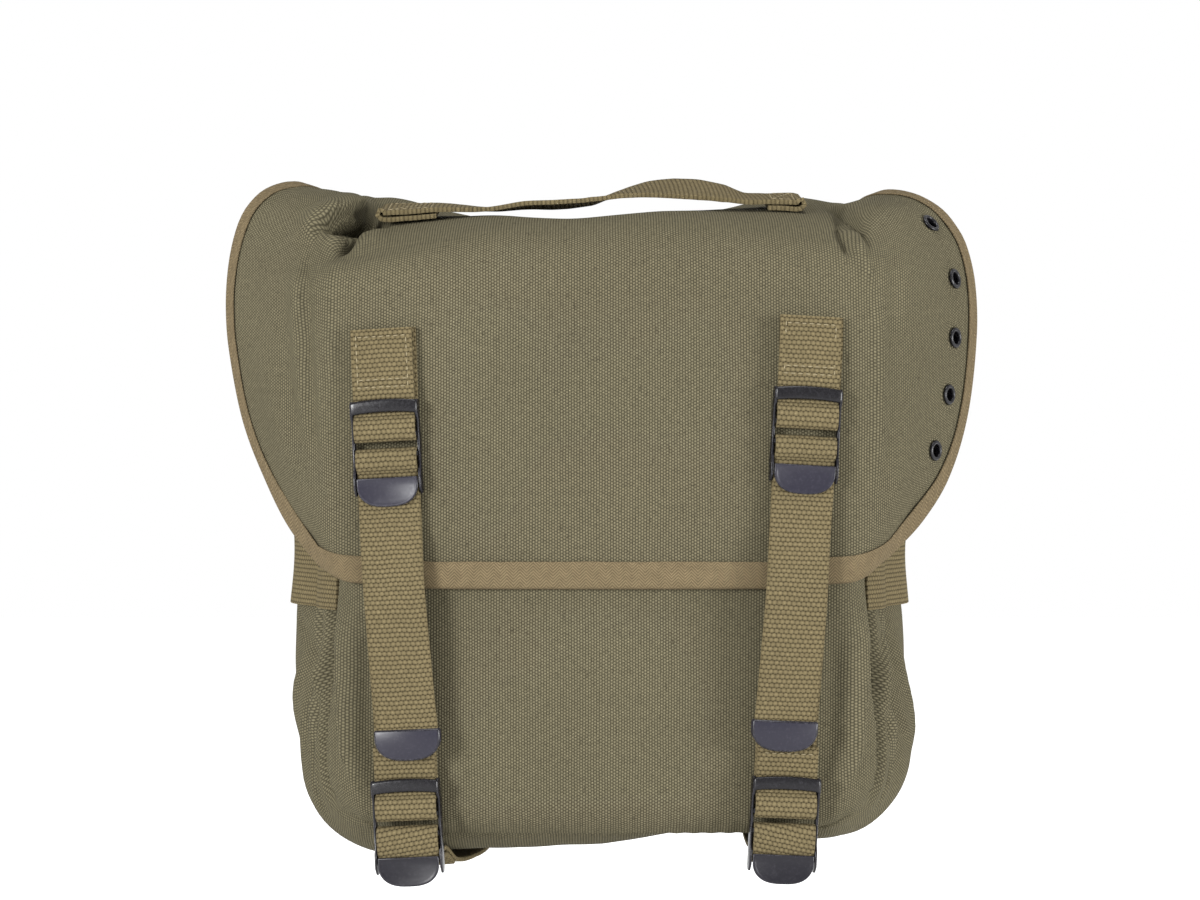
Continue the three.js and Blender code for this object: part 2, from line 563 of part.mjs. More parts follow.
// The eyelets stand in the right wing, one inset from its edge.
function eyeletFrames() {
  const inset = (v) => {
    let u = 1;
    while (flapSurface(u, v).distanceTo(flapSurface(1, v)) < EYELET_INSET) u -= 0.001;
    return u;
  };
  return EYELET_HEIGHTS.map((up) => {
    let v = AT_ROLL;
    while (flapSurface(inset(v), v).z > FLAP_TOP * up) v += 0.002;
    const u = inset(v);
    const normal = normalOf(flapSurface, u, v);
    return new THREE.Matrix4()
      .makeRotationFromQuaternion(new THREE.Quaternion().setFromUnitVectors(point(0, 0, 1), normal))
      .setPosition(flapSurface(u, v));
  });
}
const EYELET_BARREL_RADIUS = EYELET_HOLE_RADIUS + EYELET_METAL;
function buildFlap() {
  let flap = solid(sheet(flapSurface, flapShares, flapLengths, CANVAS));
  const frames = eyeletFrames();
  const bore = EYELET_BARREL_RADIUS + GAP;
  const punch = new THREE.CylinderGeometry(bore, bore, 8 * CANVAS, EYELET_SIDES);
  punch.rotateX(Math.PI / 2);
  for (const frame of frames) flap = flap.subtract(solid(punch.clone().applyMatrix4(frame)));
  add("flap", geometryOf(flap), canvasFinish);
  buildBinding(solid(sheet(flapSurface, flapShares, flapLengths, CANVAS + 2 * FACET_GAP)));
  const face = CANVAS / 2 + GAP + FACET_GAP;
  const profile = [
    [EYELET_HOLE_RADIUS, -face - EYELET_METAL],
    [EYELET_FLANGE_RADIUS, -face - EYELET_METAL],
    [EYELET_FLANGE_RADIUS, -face],
    [EYELET_BARREL_RADIUS, -face],
    [EYELET_BARREL_RADIUS, face],
    [EYELET_FLANGE_RADIUS, face],
    [EYELET_FLANGE_RADIUS, face + EYELET_METAL],
    [EYELET_HOLE_RADIUS, face + EYELET_METAL],
    [EYELET_HOLE_RADIUS, -face - EYELET_METAL],
  ].map(([radius, height]) => new THREE.Vector2(radius, height));
  frames.forEach((frame, i) => {
    const ring = new THREE.LatheGeometry(profile, EYELET_SIDES).rotateX(Math.PI / 2).applyMatrix4(frame);
    add(`eyelet_${i + 1}`, ring, metalFinish);
  });
}

// Binding: a tape folded over the flap's edge, down one side, along the hem and up the other.
// Its place across the cloth is found on the flap itself, a tape's width in from the edge.
function flapInward(u, v, inward, distance) {
  const step = 1e-3;
  const target = flapSurface(u, v).addScaledVector(inward, distance);
  let [a, b] = [u, v];
  for (let pass = 0; pass < 6; pass++) {
    const here = flapSurface(a, b);
    const du = flapSurface(a + step, b).sub(flapSurface(a - step, b)).divideScalar(2 * step);
    const dv = flapSurface(a, b + step).sub(flapSurface(a, b - step)).divideScalar(2 * step);
    const miss = target.clone().sub(here);
    const [uu, uv, vv] = [du.dot(du), du.dot(dv), dv.dot(dv)];
    const det = uu * vv - uv * uv;
    a = THREE.MathUtils.clamp(a + (miss.dot(du) * vv - miss.dot(dv) * uv) / det, -0.999, 0.999);
    b = THREE.MathUtils.clamp(b + (miss.dot(dv) * uu - miss.dot(du) * uv) / det, 0.001, 0.999);
  }
  return [a, b];
}
const BINDING_START = 0.07;
const BINDING_STEP = 5; // least spacing of its sections
function edgePath() {
  const side = flapLengths.filter((v) => v >= BINDING_START);
  const hem = flapShares.slice(1, -1);
  const path = [...side.map((v) => [-1, v]), ...hem.map((u) => [u, 1]), ...side.map((v) => [1, v]).reverse()];
  const kept = [path[0]];
  for (const step of path.slice(1))
    if (flapSurface(...step).distanceTo(flapSurface(...kept.at(-1))) >= BINDING_STEP) kept.push(step);
  return kept;
}
function buildBinding(flapRoom) {
  const path = edgePath();
  const places = path.map(([u, v]) => flapSurface(u, v));
  const inner = CANVAS / 2 + TAPE_GAP;
  const outer = inner + TAPE;
  const sections = places.map((place, i) => {
    const [u, v] = path[i];
    const along = alongAt(places, i);
    const normal = normalOf(flapSurface, THREE.MathUtils.clamp(u, -0.998, 0.998), Math.min(v, 0.998));
    const inward = normal.clone().cross(along).normalize();
    if (inward.dot(flapSurface(u * 0.9, lerp(v, 0.5, 0.1)).sub(place)) < 0) inward.negate();
    const near = (distance, side) => {
      const [a, b] = flapInward(u, v, inward, distance);
      return flapSurface(a, b).addScaledVector(normalOf(flapSurface, a, b), side);
    };
    const beyond = (reach, side) =>
      place.clone().addScaledVector(inward, -reach).addScaledVector(normal, side);
    return [
      near(TAPE_WIDTH, inner),
      near(TAPE_WIDTH / 2, inner),
      beyond(TAPE_GAP, inner),
      beyond(TAPE_GAP, -inner),
      near(TAPE_WIDTH / 2, -inner),
      near(TAPE_WIDTH, -inner),
      near(TAPE_WIDTH, -outer),
      near(TAPE_WIDTH / 2, -outer),
      beyond(TAPE_GAP + TAPE, -outer),
      beyond(TAPE_GAP + TAPE, outer),
      near(TAPE_WIDTH / 2, outer),
      near(TAPE_WIDTH, outer),
    ];
  });
  add("flap_binding", geometryOf(solid(loft(sections)).subtract(flapRoom)), tapeFinish);
}

// The direction in which a row of places runs on at one of them.
function alongAt(places, i) {
  const [before, after] = [places[Math.max(i - 1, 0)], places[Math.min(i + 1, places.length - 1)]];
  return after.clone().sub(before).normalize();
}

// A strip of webbing along a path. Each station has its place and the directions of its width and thickness.
function strip(stations, width = WEBBING_WIDTH, thickness = WEBBING) {
  return loft(
    stations.map(({ place, across, out }) =>
      [[-1, -1], [1, -1], [1, 1], [-1, 1]].map(([a, b]) =>
        place.clone().addScaledVector(across, (a * width) / 2).addScaledVector(out, (b * thickness) / 2),
      ),
    ),
  );
}
// Stations for a flat path of [y, z] pairs. The strip's width runs along x.
function flatStations(path, shiftAt = () => 0) {
  const across = point(1, 0, 0);
  const places = path.map(([y, z]) => point(0, y, z));
  return places.map((place, i) => ({
    place: point(shiftAt(i), place.y, place.z),
    across,
    out: across.clone().cross(alongAt(places, i)),
  }));
}
// Points of a turn round a bar, from one angle to another in degrees. Angle 0 points along +Y and 90 up.
const turn = (y, z, radius, from, to, steps) =>
  even(steps).map((share) => {
    const angle = (lerp(from, to, share) * Math.PI) / 180;
    return [y + radius * Math.cos(angle), z + radius * Math.sin(angle)];
  });

// Depths in a strap's own frame, measured forwards from what it lies on.
const LAYER = WEBBING + GAP;
const FIRST_PLY = GAP + FACET_GAP + WEBBING / 2; // middle of the ply next to the cloth
const WRAP_RADIUS = Math.hypot(CROSSBAR_THICKNESS, CROSSBAR_HEIGHT) / 2 + GAP + WEBBING / 2;
const CROSSBAR_OFF = FIRST_PLY + WRAP_RADIUS; // middle of a crossbar off the cloth
const SECOND_PLY = FIRST_PLY + LAYER;
const TOP_BAR_OFF = SECOND_PLY + WEBBING / 2 + GAP;
const PLATE_OFF = SECOND_PLY + WEBBING / 2 + GAP + TAIL_EASE;
const BUCKLE_HALF_WIDTH = WEBBING_WIDTH / 2 + BUCKLE_CLEARANCE + RAIL;

// Buckle: two side rails, a top bar, two crossbars and a round thumb plate in one piece of pressed steel.
// In its own frame x is across, -y is forwards, z is up, and z 0 is the slot between the crossbars.
function buckleGeometry() {
  const bar = (width, thickness, height, off, up) =>
    new THREE.BoxGeometry(width, thickness, height).translate(0, -off, up);
  const width = 2 * BUCKLE_HALF_WIDTH - RAIL;
  const railTop = TOP_BAR_RISE + TOP_BAR_HEIGHT;
  const railFoot = -PLATE_DROP - RAIL_TAIL;
  const railBack = GAP + FACET_GAP;
  const railFront = TOP_BAR_OFF + RAIL;
  const plateFront = PLATE_OFF + PLATE_THICKNESS;
  const railShape = new THREE.Shape(
    [
      [railBack + RAIL, railTop],
      [railFront - RAIL, railTop],
      [railFront, railTop - RAIL],
      [railFront, TOP_BAR_RISE - RAIL],
      [railFront - RAIL, TOP_BAR_RISE - 2 * RAIL],
      [railFront - RAIL, -PLATE_DROP + 3 * RAIL],
      [plateFront, -PLATE_DROP + RAIL],
      [plateFront, railFoot + 2 * RAIL],
      [railFront - 2 * RAIL, railFoot],
      [railBack + RAIL, railFoot],
      [railBack, railFoot + RAIL],
      [railBack, railTop - RAIL],
    ].map(([off, up]) => new THREE.Vector2(off, up)),
  );
  const rail = new THREE.ExtrudeGeometry(railShape, { depth: RAIL, bevelEnabled: false });
  rail.rotateX(Math.PI / 2).rotateZ(-Math.PI / 2); // the shape's x now points forwards and its y upwards
  const placed = (centre) => rail.clone().translate(centre + RAIL / 2, 0, 0);
  let made = solid(placed(BUCKLE_HALF_WIDTH - RAIL / 2)).add(solid(placed(-BUCKLE_HALF_WIDTH + RAIL / 2)));
  const half = CROSSBAR_SPACING / 2;
  const bars = [
    bar(width, CROSSBAR_THICKNESS, CROSSBAR_HEIGHT, CROSSBAR_OFF, half),
    bar(width, CROSSBAR_THICKNESS, CROSSBAR_HEIGHT, CROSSBAR_OFF, -half),
    bar(width, RAIL, TOP_BAR_HEIGHT, TOP_BAR_OFF + RAIL / 2, TOP_BAR_RISE + TOP_BAR_HEIGHT / 2),
    plateGeometry(2 * BUCKLE_HALF_WIDTH - GAP, PLATE_HEIGHT, PLATE_THICKNESS)
      .translate(0, -PLATE_OFF, -PLATE_DROP),
  ];
  for (const piece of bars) made = made.add(solid(piece));
  return geometryOf(made);
}
// A round-ended plate hanging down from z 0, from y 0 forwards.
const PLATE_CURVE = { shoulder: 0.3, low: 0.72, near: 0.3 }; // shares of the plate's height, height and width
function plateGeometry(width, height, thickness) {
  const [shoulder, low] = [height * PLATE_CURVE.shoulder, height * PLATE_CURVE.low];
  const [near, far] = [width * PLATE_CURVE.near, width / 2];
  const shape = new THREE.Shape();
  shape.moveTo(-far, 0);
  shape.lineTo(-far, -shoulder);
  shape.bezierCurveTo(-far, -low, -near, -height, 0, -height);
  shape.bezierCurveTo(near, -height, far, -low, far, -shoulder);
  shape.lineTo(far, 0);
  const plate = new THREE.ExtrudeGeometry(shape, { depth: thickness, bevelEnabled: false, curveSegments: 7 });
  return plate.rotateX(Math.PI / 2);
}

// The bag's outer face under a strap, which runs taut from the front panel up over the flap's hem.
function outerFaceY(x, height) {
  const overHem = smooth((height - HEM_HEIGHT + STRAP_RISE) / STRAP_RISE);
  const panel = frontY(x, height) - CANVAS / 2;
  const flap = flapFrontY(x, Math.max(height, HEM_HEIGHT)) - CANVAS / 2;
  const onBinding = (GAP + TAPE + FACET_GAP) * smooth((HEM_HEIGHT + 2 * TAPE_WIDTH - height) / TAPE_WIDTH);
  return lerp(panel, flap - onBinding, overHem);
}

function buildClosure({ side, sign, drift, ...shares }) {
  const foot = shares.foot * PANEL_HALF_WIDTH;
  const [tabTop, slot, tipTop, lowerSlot] = ["tabTop", "slot", "tipTop", "low"].map(
    (name) => shares[name] * BODY_HEIGHT,
  );
  const frame = new THREE.Group();
  frame.position.set(sign * foot, -BODY_DEPTH, 0);
  const [slant, yaw] = [STRAP_SLANT, STRAP_YAW].map(THREE.MathUtils.degToRad);
  frame.rotation.set(0, sign * slant, sign * yaw, "ZYX");
  frame.updateMatrix();
  bag.add(frame);
  const ground = (height) => {
    const over = point(0, 0, height).applyMatrix4(frame.matrix);
    return (outerFaceY(over.x, over.z) - over.y) * Math.cos(yaw);
  };
  const off = (height, distance) => [ground(height) - distance, height];

  // Upper buckle, on a tab sewn to the flap.
  const base = ground(slot);
  const level = (height, distance) => [Math.min(base, ground(height)) - distance, height];
  add(`closure_buckle_${side}`, buckleGeometry(), metalFinish, frame).position.set(0, base, slot);
  const barTop = slot + TOP_BAR_RISE + TOP_BAR_HEIGHT;
  const tabMiddle = lerp(tabTop, barTop, 0.4);
  const tabPath = [
    off(tabTop, SECOND_PLY),
    off(tabMiddle, SECOND_PLY),
    level(barTop, SECOND_PLY),
    level(slot + TOP_BAR_RISE, SECOND_PLY),
    ...barTurn(base, slot + CROSSBAR_SPACING / 2, 1).reverse(),
    level(slot + TOP_BAR_RISE, FIRST_PLY),
    level(barTop, FIRST_PLY),
    off(tabMiddle, FIRST_PLY),
    off(tabTop, FIRST_PLY),
  ];
  add(`flap_tab_${side}`, strip(flatStations(tabPath)), webbingFinish, frame);

  // Closure strap: sewn under the lower tab, up to the buckle, round its lower crossbar and down again.
  const plateTop = slot - PLATE_DROP;
  const plateFoot = plateTop - PLATE_HEIGHT;
  const heights = [0.24, 0.33, 0.42, 0.5, 0.57, 0.64, 0.72, 0.82, 0.9].map((share) => share * slot);
  const onTab = 2 * LAYER + TAIL_EASE; // the tip hangs in front of the lower tab
  const tailOff = (height) =>
    SECOND_PLY + 1.5 * TAIL_EASE + onTab * smooth((plateFoot - height) / (plateFoot - tipTop));
  const tail = heights.filter((height) => height > tipTop + 2 * LEAD && height < plateFoot - LEAD).reverse();
  const strapPath = [
    off(ANCHOR_END, FIRST_PLY),
    ...heights.map((height) => off(height, FIRST_PLY)),
    ...barTurn(base, slot - CROSSBAR_SPACING / 2, -1),
    level(plateTop + WEBBING, SECOND_PLY),
    level(plateFoot, SECOND_PLY),
    ...tail.map((height) => off(height, tailOff(height))),
    off(tipTop, tailOff(tipTop)),
    off(tipTop - TIP_GRIP, tailOff(tipTop)),
  ];
  const hangs = heights.length + 9;
  const slew = (i) => -sign * TAIL_SLEW * clamp01((i - hangs) / (strapPath.length - 2 - hangs));
  add(`closure_strap_${side}`, strip(flatStations(strapPath, slew)), webbingFinish, frame);

  const depth = WEBBING + 2 * GAP + 2 * TIP_METAL;
  const shell = plateGeometry(WEBBING_WIDTH + 2 * (GAP + TIP_METAL), TIP_HEIGHT, depth);
  shell.translate(0, depth / 2, 0);
  const pocket = new THREE.BoxGeometry(WEBBING_WIDTH + 2 * GAP, WEBBING + 2 * GAP, 2 * (TIP_GRIP + GAP));
  const tip = add(`strap_tip_${side}`, geometryOf(solid(shell).subtract(solid(pocket))), metalFinish, frame);
  const [[tipY], [endY]] = [off(tipTop, tailOff(tipTop)), off(tipTop - TIP_GRIP, tailOff(tipTop))];
  tip.position.set(-sign * TAIL_SLEW, tipY, tipTop);
  tip.rotation.x = Math.atan2(endY - tipY, TIP_GRIP);

  // Lower buckle, on a tab sewn over the closure strap's end.
  const lowBase = off(LOWER_TAB_TOP, LAYER)[0];
  add(`lower_buckle_${side}`, buckleGeometry(), metalFinish, frame).position.set(0, lowBase, lowerSlot);
  const flat = (height, distance) => [lowBase - distance, height];
  const lowerTabPath = [
    flat(LOWER_TAB_TOP, SECOND_PLY),
    flat(lowerSlot + TOP_BAR_RISE, SECOND_PLY),
    ...barTurn(lowBase, lowerSlot + CROSSBAR_SPACING / 2, 1).reverse(),
    flat(lowerSlot + TOP_BAR_RISE, FIRST_PLY),
    flat(LOWER_TAB_TOP, FIRST_PLY),
  ];
  add(`lower_tab_${side}`, strip(flatStations(lowerTabPath)), webbingFinish, frame);
  buildLowerStrap({ side, sign, foot, lowerSlot, drift: drift * PANEL_HALF_WIDTH }, frame.matrix, lowBase);
}

// Half turn of webbing round a crossbar, from its back to its front, with a straight lead to the plies.
// side is 1 for webbing that comes from above and -1 for webbing that comes from below.
function barTurn(base, height, side) {
  const y = base - CROSSBAR_OFF;
  return [...turn(y, height, WRAP_RADIUS, 0, side * -180, 4), [y - WRAP_RADIUS, height + side * LEAD]];
}

// The lowest that the gusset hangs over the width of a strap whose middle runs below a place of the bottom.
function undersideZ(x, y) {
  const depthShare = clamp01((y - FRONT_SEAM) / (BACK_SEAM - FRONT_SEAM));
  const shareAt = (across) => 0.5 + (x + across * WEBBING_WIDTH) / OUTLINE_HALF / 2;
  const low = [-0.5, 0, 0.5].map((across) => gussetSurface(shareAt(across), depthShare).z);
  return Math.min(...low) - CANVAS / 2;
}

// Lower strap: sewn under the back of the bag, forwards to the lower buckle, round its lower crossbar and
// back again as a loose end. The rows place it before and after the turn, backwards of the wrap's line and
// below the crossbar, as shares of the webbing's width.
const INTO_BUCKLE = [
  { back: 0.225, down: 0.352 },
  { back: 0.066, down: 0.27 },
  { back: 0, down: 0.123 },
];
const OUT_OF_BUCKLE = [
  { back: 0, down: 0.139 },
  { back: 0.033, down: 0.287 },
  { back: 0.139, down: 0.41 },
  { back: 0.328, down: 0.508 },
];
const UNDER_SHARES = [0, 0.22, 0.44, 0.64, 0.8]; // from where it is sewn on towards the front seam
const LOOSE_SHARES = [0.8, 0.66];
function buildLowerStrap({ side, sign, foot, lowerSlot, drift }, frame, base) {
  const bar = lowerSlot - CROSSBAR_SPACING / 2;
  const wrap = base - CROSSBAR_OFF;
  const across = point(1, 0, 0).transformDirection(frame);
  const held = (y, z) => ({ place: point(0, y, z).applyMatrix4(frame), acrossLine: across });
  const sewnAt = lerp(-BODY_DEPTH, 0, STRAP_REACH);
  const under = (y, layer) => {
    const x = sign * (foot + WEBBING - drift * smooth((y + BODY_DEPTH) / (sewnAt + BODY_DEPTH)));
    const off = FIRST_PLY + 3 * FACET_GAP + layer * (LAYER + FACET_GAP);
    return { place: point(x, y, undersideZ(x, y) - off), acrossLine: point(1, 0, 0) };
  };
  const leads = (rows, line) =>
    rows.map(({ back, down }) => held(line + back * WEBBING_WIDTH, bar - down * WEBBING_WIDTH));
  const path = [
    ...UNDER_SHARES.map((share) => under(lerp(sewnAt, -BODY_DEPTH, share), 0)),
    ...leads(INTO_BUCKLE, wrap + WRAP_RADIUS),
    ...turn(wrap, bar, WRAP_RADIUS, 0, 180, 4).map(([y, z]) => held(y, z)),
    ...leads(OUT_OF_BUCKLE, wrap - WRAP_RADIUS),
    ...LOOSE_SHARES.map((share) => under(lerp(sewnAt, -BODY_DEPTH, share), 1)),
  ];
  const stations = path.map(({ place, acrossLine }, i) => {
    const along = alongAt(path.map((station) => station.place), i);
    const out = acrossLine.clone().cross(along).normalize();
    return { place, across: along.cross(out).normalize(), out };
  });
  add(`lower_strap_${side}`, strip(stations), webbingFinish);
}

// Handle: webbing along the lid, sewn and doubled at both ends, with a low grip between. Columns are the
// place along the handle, the grip's room as a share, how far it is lifted on to the doubled ends, and the
// angle at which the webbing leans towards the front.
const HANDLE_ROWS = [
  { at: 0, room: 0, ply: 1, lean: 13.5 },
  { at: 0.127, room: 0, ply: 1, lean: 10.5 },
  { at: 0.2, room: 0.08, ply: 0.25, lean: 8 },
  { at: 0.255, room: 0.14, ply: 0, lean: 5 },
  { at: 0.335, room: 0.6, ply: 0, lean: 1.5 },
  { at: 0.43, room: 0.82, ply: 0, lean: 0 },
  { at: 0.525, room: 0.92, ply: 0, lean: 2 },
  { at: 0.6, room: 0.88, ply: 0, lean: 10 },
  { at: 0.7, room: 0.66, ply: 0, lean: 17 },
  { at: 0.76, room: 0.58, ply: 0, lean: 17.5 },
  { at: 0.83, room: 0.42, ply: 0.1, lean: 15 },
  { at: 0.89, room: 0.05, ply: 0.75, lean: 11 },
  { at: 0.925, room: 0, ply: 1, lean: 12 },
  { at: 1, room: 0, ply: 1, lean: 13.5 },
];
function buildHandle() {
  const y = -BODY_DEPTH + HANDLE_SETBACK;
  const lean = (share) => THREE.MathUtils.degToRad(column(HANDLE_ROWS, "lean", clamp01(share)));
  const ply = (share, layer) => {
    const x = lerp(HANDLE_LEFT, HANDLE_RIGHT, share);
    const reach = (Math.cos(lean(share)) * WEBBING_WIDTH) / 2;
    const slope = Math.tan(lean(share));
    const lid = [-1, -0.5, 0, 0.5, 1].map((s) => lidHeight(x, y + s * reach) - s * reach * slope);
    const lifted = layer * (LAYER + HANDLE_PLY_EASE) * column(HANDLE_ROWS, "ply", share);
    const room = HANDLE_RISE * column(HANDLE_ROWS, "room", share);
    return point(x, y, Math.max(...lid) + CANVAS / 2 + FIRST_PLY + lifted + room);
  };
  const length = HANDLE_RIGHT - HANDLE_LEFT;
  const [left, right] = [HANDLE_SEWN_LEFT / length, 1 - HANDLE_SEWN_RIGHT / length];
  const turned = (share, way) =>
    ply(share, 0).lerp(ply(share, 1), 0.5).add(point(way * HANDLE_END_TURN, 0, 0));
  const grip = [0.18, 0.225, 0.27, 0.34, 0.42, 0.5, 0.57, 0.64, 0.7, 0.76, 0.82, 0.87];
  const places = [
    [ply(left, 0), left],
    [ply(left / 2, 0), left / 2],
    [ply(0, 0), 0],
    [turned(0, -1), 0],
    ...[0, left / 2, left, ...grip, right, (1 + right) / 2, 1].map((share) => [ply(share, 1), share]),
    [turned(1, 1), 1],
    [ply(1, 0), 1],
    [ply((1 + right) / 2, 0), (1 + right) / 2],
    [ply(right, 0), right],
  ];
  const stations = places.map(([place, share], i) => {
    const across = point(0, Math.cos(lean(share)), Math.sin(lean(share)));
    return { place, across, out: alongAt(places.map(([at]) => at), i).cross(across).normalize() };
  });
  add("handle", strip(stations), webbingFinish);
}

// Belt loops: hidden behind the bag, two plain strips of webbing that the belt passes through.
function buildBeltLoops() {
  const near = FIRST_PLY;
  const far = LOOP_ROOM + WEBBING / 2;
  const rising = [
    [near, -LOOP_HALF - LOOP_SEW],
    [near, -LOOP_HALF - LOOP_RAMP],
    [far, -LOOP_HALF + LOOP_RAMP],
  ];
  const falling = rising.map(([off, up]) => [off, -up]).reverse();
  const path = [...rising, [far, 0], ...falling].map(([off, up]) => [off, BELT_HEIGHT + up]);
  for (const [name, sign] of [["belt_loop_left", -1], ["belt_loop_right", 1]]) {
    const loop = add(name, strip(flatStations(path)), webbingFinish);
    loop.position.x = sign * LOOP_HALF_SPACING;
  }
}

buildPanels();
buildGusset();
buildSideWebbing();
buildFlap();
CLOSURES.forEach(buildClosure);
buildHandle();
buildBeltLoops();
bag.position.z = -BELT_HEIGHT;

const beltBag = new THREE.Group();
beltBag.add(bag);
export default beltBag;
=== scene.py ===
# %% [markdown]
# # A canvas belt bag
# This lesson dresses a plain solid model of a small field bag in cloth, webbing and steel.
# The solids come first and stay fixed. Each cloth piece is then built again over them, finer and softer,
# because canvas shows its folds, its rolled seams and its weave, and a plain solid shows none of them.

# %% Load the solid model and bake each part's placement into its mesh
import math

import bmesh
import bpy
from mathutils import Matrix, Vector, noise


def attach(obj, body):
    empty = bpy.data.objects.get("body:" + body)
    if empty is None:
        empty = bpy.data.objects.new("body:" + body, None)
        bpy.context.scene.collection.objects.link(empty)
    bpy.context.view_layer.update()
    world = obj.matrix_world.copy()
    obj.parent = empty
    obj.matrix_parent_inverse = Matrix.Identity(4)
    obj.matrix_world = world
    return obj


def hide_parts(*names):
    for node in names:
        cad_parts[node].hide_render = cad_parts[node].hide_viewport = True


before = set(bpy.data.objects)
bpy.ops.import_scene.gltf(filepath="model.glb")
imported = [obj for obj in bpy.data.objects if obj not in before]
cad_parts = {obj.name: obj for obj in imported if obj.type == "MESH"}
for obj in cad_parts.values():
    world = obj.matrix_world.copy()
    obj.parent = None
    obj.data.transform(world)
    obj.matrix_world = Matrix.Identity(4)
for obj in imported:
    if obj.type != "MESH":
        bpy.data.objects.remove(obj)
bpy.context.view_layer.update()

# %% [markdown]
# ## Camera, floor and light
# The photograph looks straight at the front of the bag from about a metre, level with a point a little above
# its middle. A plain pale floor and a white surround give the soft light of a small studio. A lamp on either
# side, well off the line of sight, gives the folds a shaded side and keeps bright mirror spots off the steel,
# and a third lamp above lights the lid and the handle.

# %% Camera
scene = bpy.context.scene
MM = 0.001
BELT_HEIGHT = 176  # the origin's height above the bottom seam, in millimetres
CAMERA_HEIGHT = 152.8
CAMERA_DISTANCE = 1000
CAMERA_SHIFT = -0.8
BODY_DEPTH = 112  # from the back to the front seam

camera_data = bpy.data.cameras.new("camera")
camera_data.lens = 75
camera_data.sensor_width = 36
camera = bpy.data.objects.new("camera", camera_data)
camera.location = Vector((CAMERA_SHIFT, -BODY_DEPTH - CAMERA_DISTANCE, CAMERA_HEIGHT - BELT_HEIGHT)) * MM
camera.rotation_euler = (math.radians(90), 0, 0)
scene.collection.objects.link(camera)
scene.camera = camera
scene.view_settings.view_transform = "Standard"

# %% One function turns a colour from its usual hex form to the linear light that shaders add up
def linear(hex_colour):
    channels = [int(hex_colour[i : i + 2], 16) / 255 for i in (1, 3, 5)]
    return (*[c / 12.92 if c <= 0.04045 else ((c + 0.055) / 1.055) ** 2.4 for c in channels], 1.0)


# %% One function adds a shader node with its settings and links, and gives its first output
def add(tree, kind, inputs=None, **settings):
    made = tree.nodes.new("ShaderNode" + kind)
    for name, value in settings.items():
        setattr(made, name, value)
    for socket, value in (inputs or {}).items():
        if isinstance(value, bpy.types.NodeSocket):
            tree.links.new(value, made.inputs[socket])
        else:
            made.inputs[socket].default_value = value
    return made.outputs[0]


def start_material(name):
    material = bpy.data.materials.new(name)
    material.use_nodes = True
    tree = material.node_tree
    return material, tree, tree.nodes["Principled BSDF"].inputs


# %% Floor and light
paper, tree, shader = start_material("white_studio_paper")
shader["Base Color"].default_value = linear("#fcfcfc")
shader["Roughness"].default_value = 0.9

FLOOR_DROP, FLOOR_HALF_SIZE = 0.30, 3
bm = bmesh.new()
bmesh.ops.create_grid(bm, x_segments=1, y_segments=1, size=FLOOR_HALF_SIZE)
bmesh.ops.translate(bm, vec=(0, 0, -FLOOR_DROP), verts=bm.verts)
floor_mesh = bpy.data.meshes.new("floor")
bm.to_mesh(floor_mesh)
bm.free()
floor = bpy.data.objects.new("floor", floor_mesh)
floor_mesh.materials.append(paper)
scene.collection.objects.link(floor)

world = bpy.data.worlds.new("white_surround")
scene.world = world
world.use_nodes = True
world.node_tree.nodes["Background"].inputs["Color"].default_value = (1, 1, 1, 1)
world.node_tree.nodes["Background"].inputs["Strength"].default_value = 1.0


def area_lamp(name, place, aim, size, watts):
    data = bpy.data.lights.new(name, "AREA")
    data.shape = "DISK"
    data.size = size
    data.energy = watts
    lamp = bpy.data.objects.new(name, data)
    lamp.location = place
    lamp.rotation_euler = (Vector(aim) - Vector(place)).to_track_quat("-Z", "Y").to_euler()
    scene.collection.objects.link(lamp)


area_lamp("softbox_left", (-1.3, -1.6, 0.3), (0, -0.06, -0.05), 0.6, 63)
area_lamp("softbox_right", (1.8, -1.0, -0.1), (0, -0.06, -0.08), 0.8, 70)
area_lamp("softbox_above", (0.1, -0.5, 1.7), (0, -0.06, 0.05), 0.9, 25)
print("camera at", [round(v, 3) for v in camera.location])

# %% [markdown]
# ## Cloth, webbing, tape and steel
# Every weave below is drawn from real thread spacings. A piece of cloth carries a map of its own flat shape
# in metres, so the threads follow each fold just as they were woven. In plain weave each upright thread
# shows as a row of small knuckles, and its neighbours are set half a step up, like bricks. That one
# pattern, coarse or fine, makes both the canvas and the strap webbing.

# %% Helpers for the shaders: noise, sums, a mix of two colours, a mottled colour and a bump
def grain(tree, place, scale, detail, roughness=0.5):
    return add(tree, "TexNoise", {"Vector": place, "Scale": scale, "Detail": detail, "Roughness": roughness})


def maths(tree, operation, *values, kind="Math"):
    return add(tree, kind, dict(enumerate(values)), operation=operation)


def spread_out(tree, value, low, high, new_low, new_high, **settings):
    return add(tree, "MapRange", {0: value, 1: low, 2: high, 3: new_low, 4: new_high}, **settings)


def blend(tree, amount, first, second, **settings):
    return add(tree, "Mix", {0: amount, 6: first, 7: second}, data_type="RGBA", **settings).node.outputs[2]


def mottled(tree, body, *layers):
    for source, low, high in layers:
        shade = spread_out(tree, source, 0.25, 0.75, low, high)
        tint = add(tree, "CombineXYZ", {0: shade, 1: shade, 2: shade})
        body = blend(tree, 1.0, body, tint, blend_type="MULTIPLY")
    return body


def finish_surface(tree, shader, body, height, distance, strength, roughness, specular):
    tree.links.new(body, shader["Base Color"])
    bump = add(tree, "Bump", {"Height": height, "Distance": distance, "Strength": strength})
    tree.links.new(bump, shader["Normal"])
    shader["Roughness"].default_value = roughness
    shader["Specular IOR Level"].default_value = specular


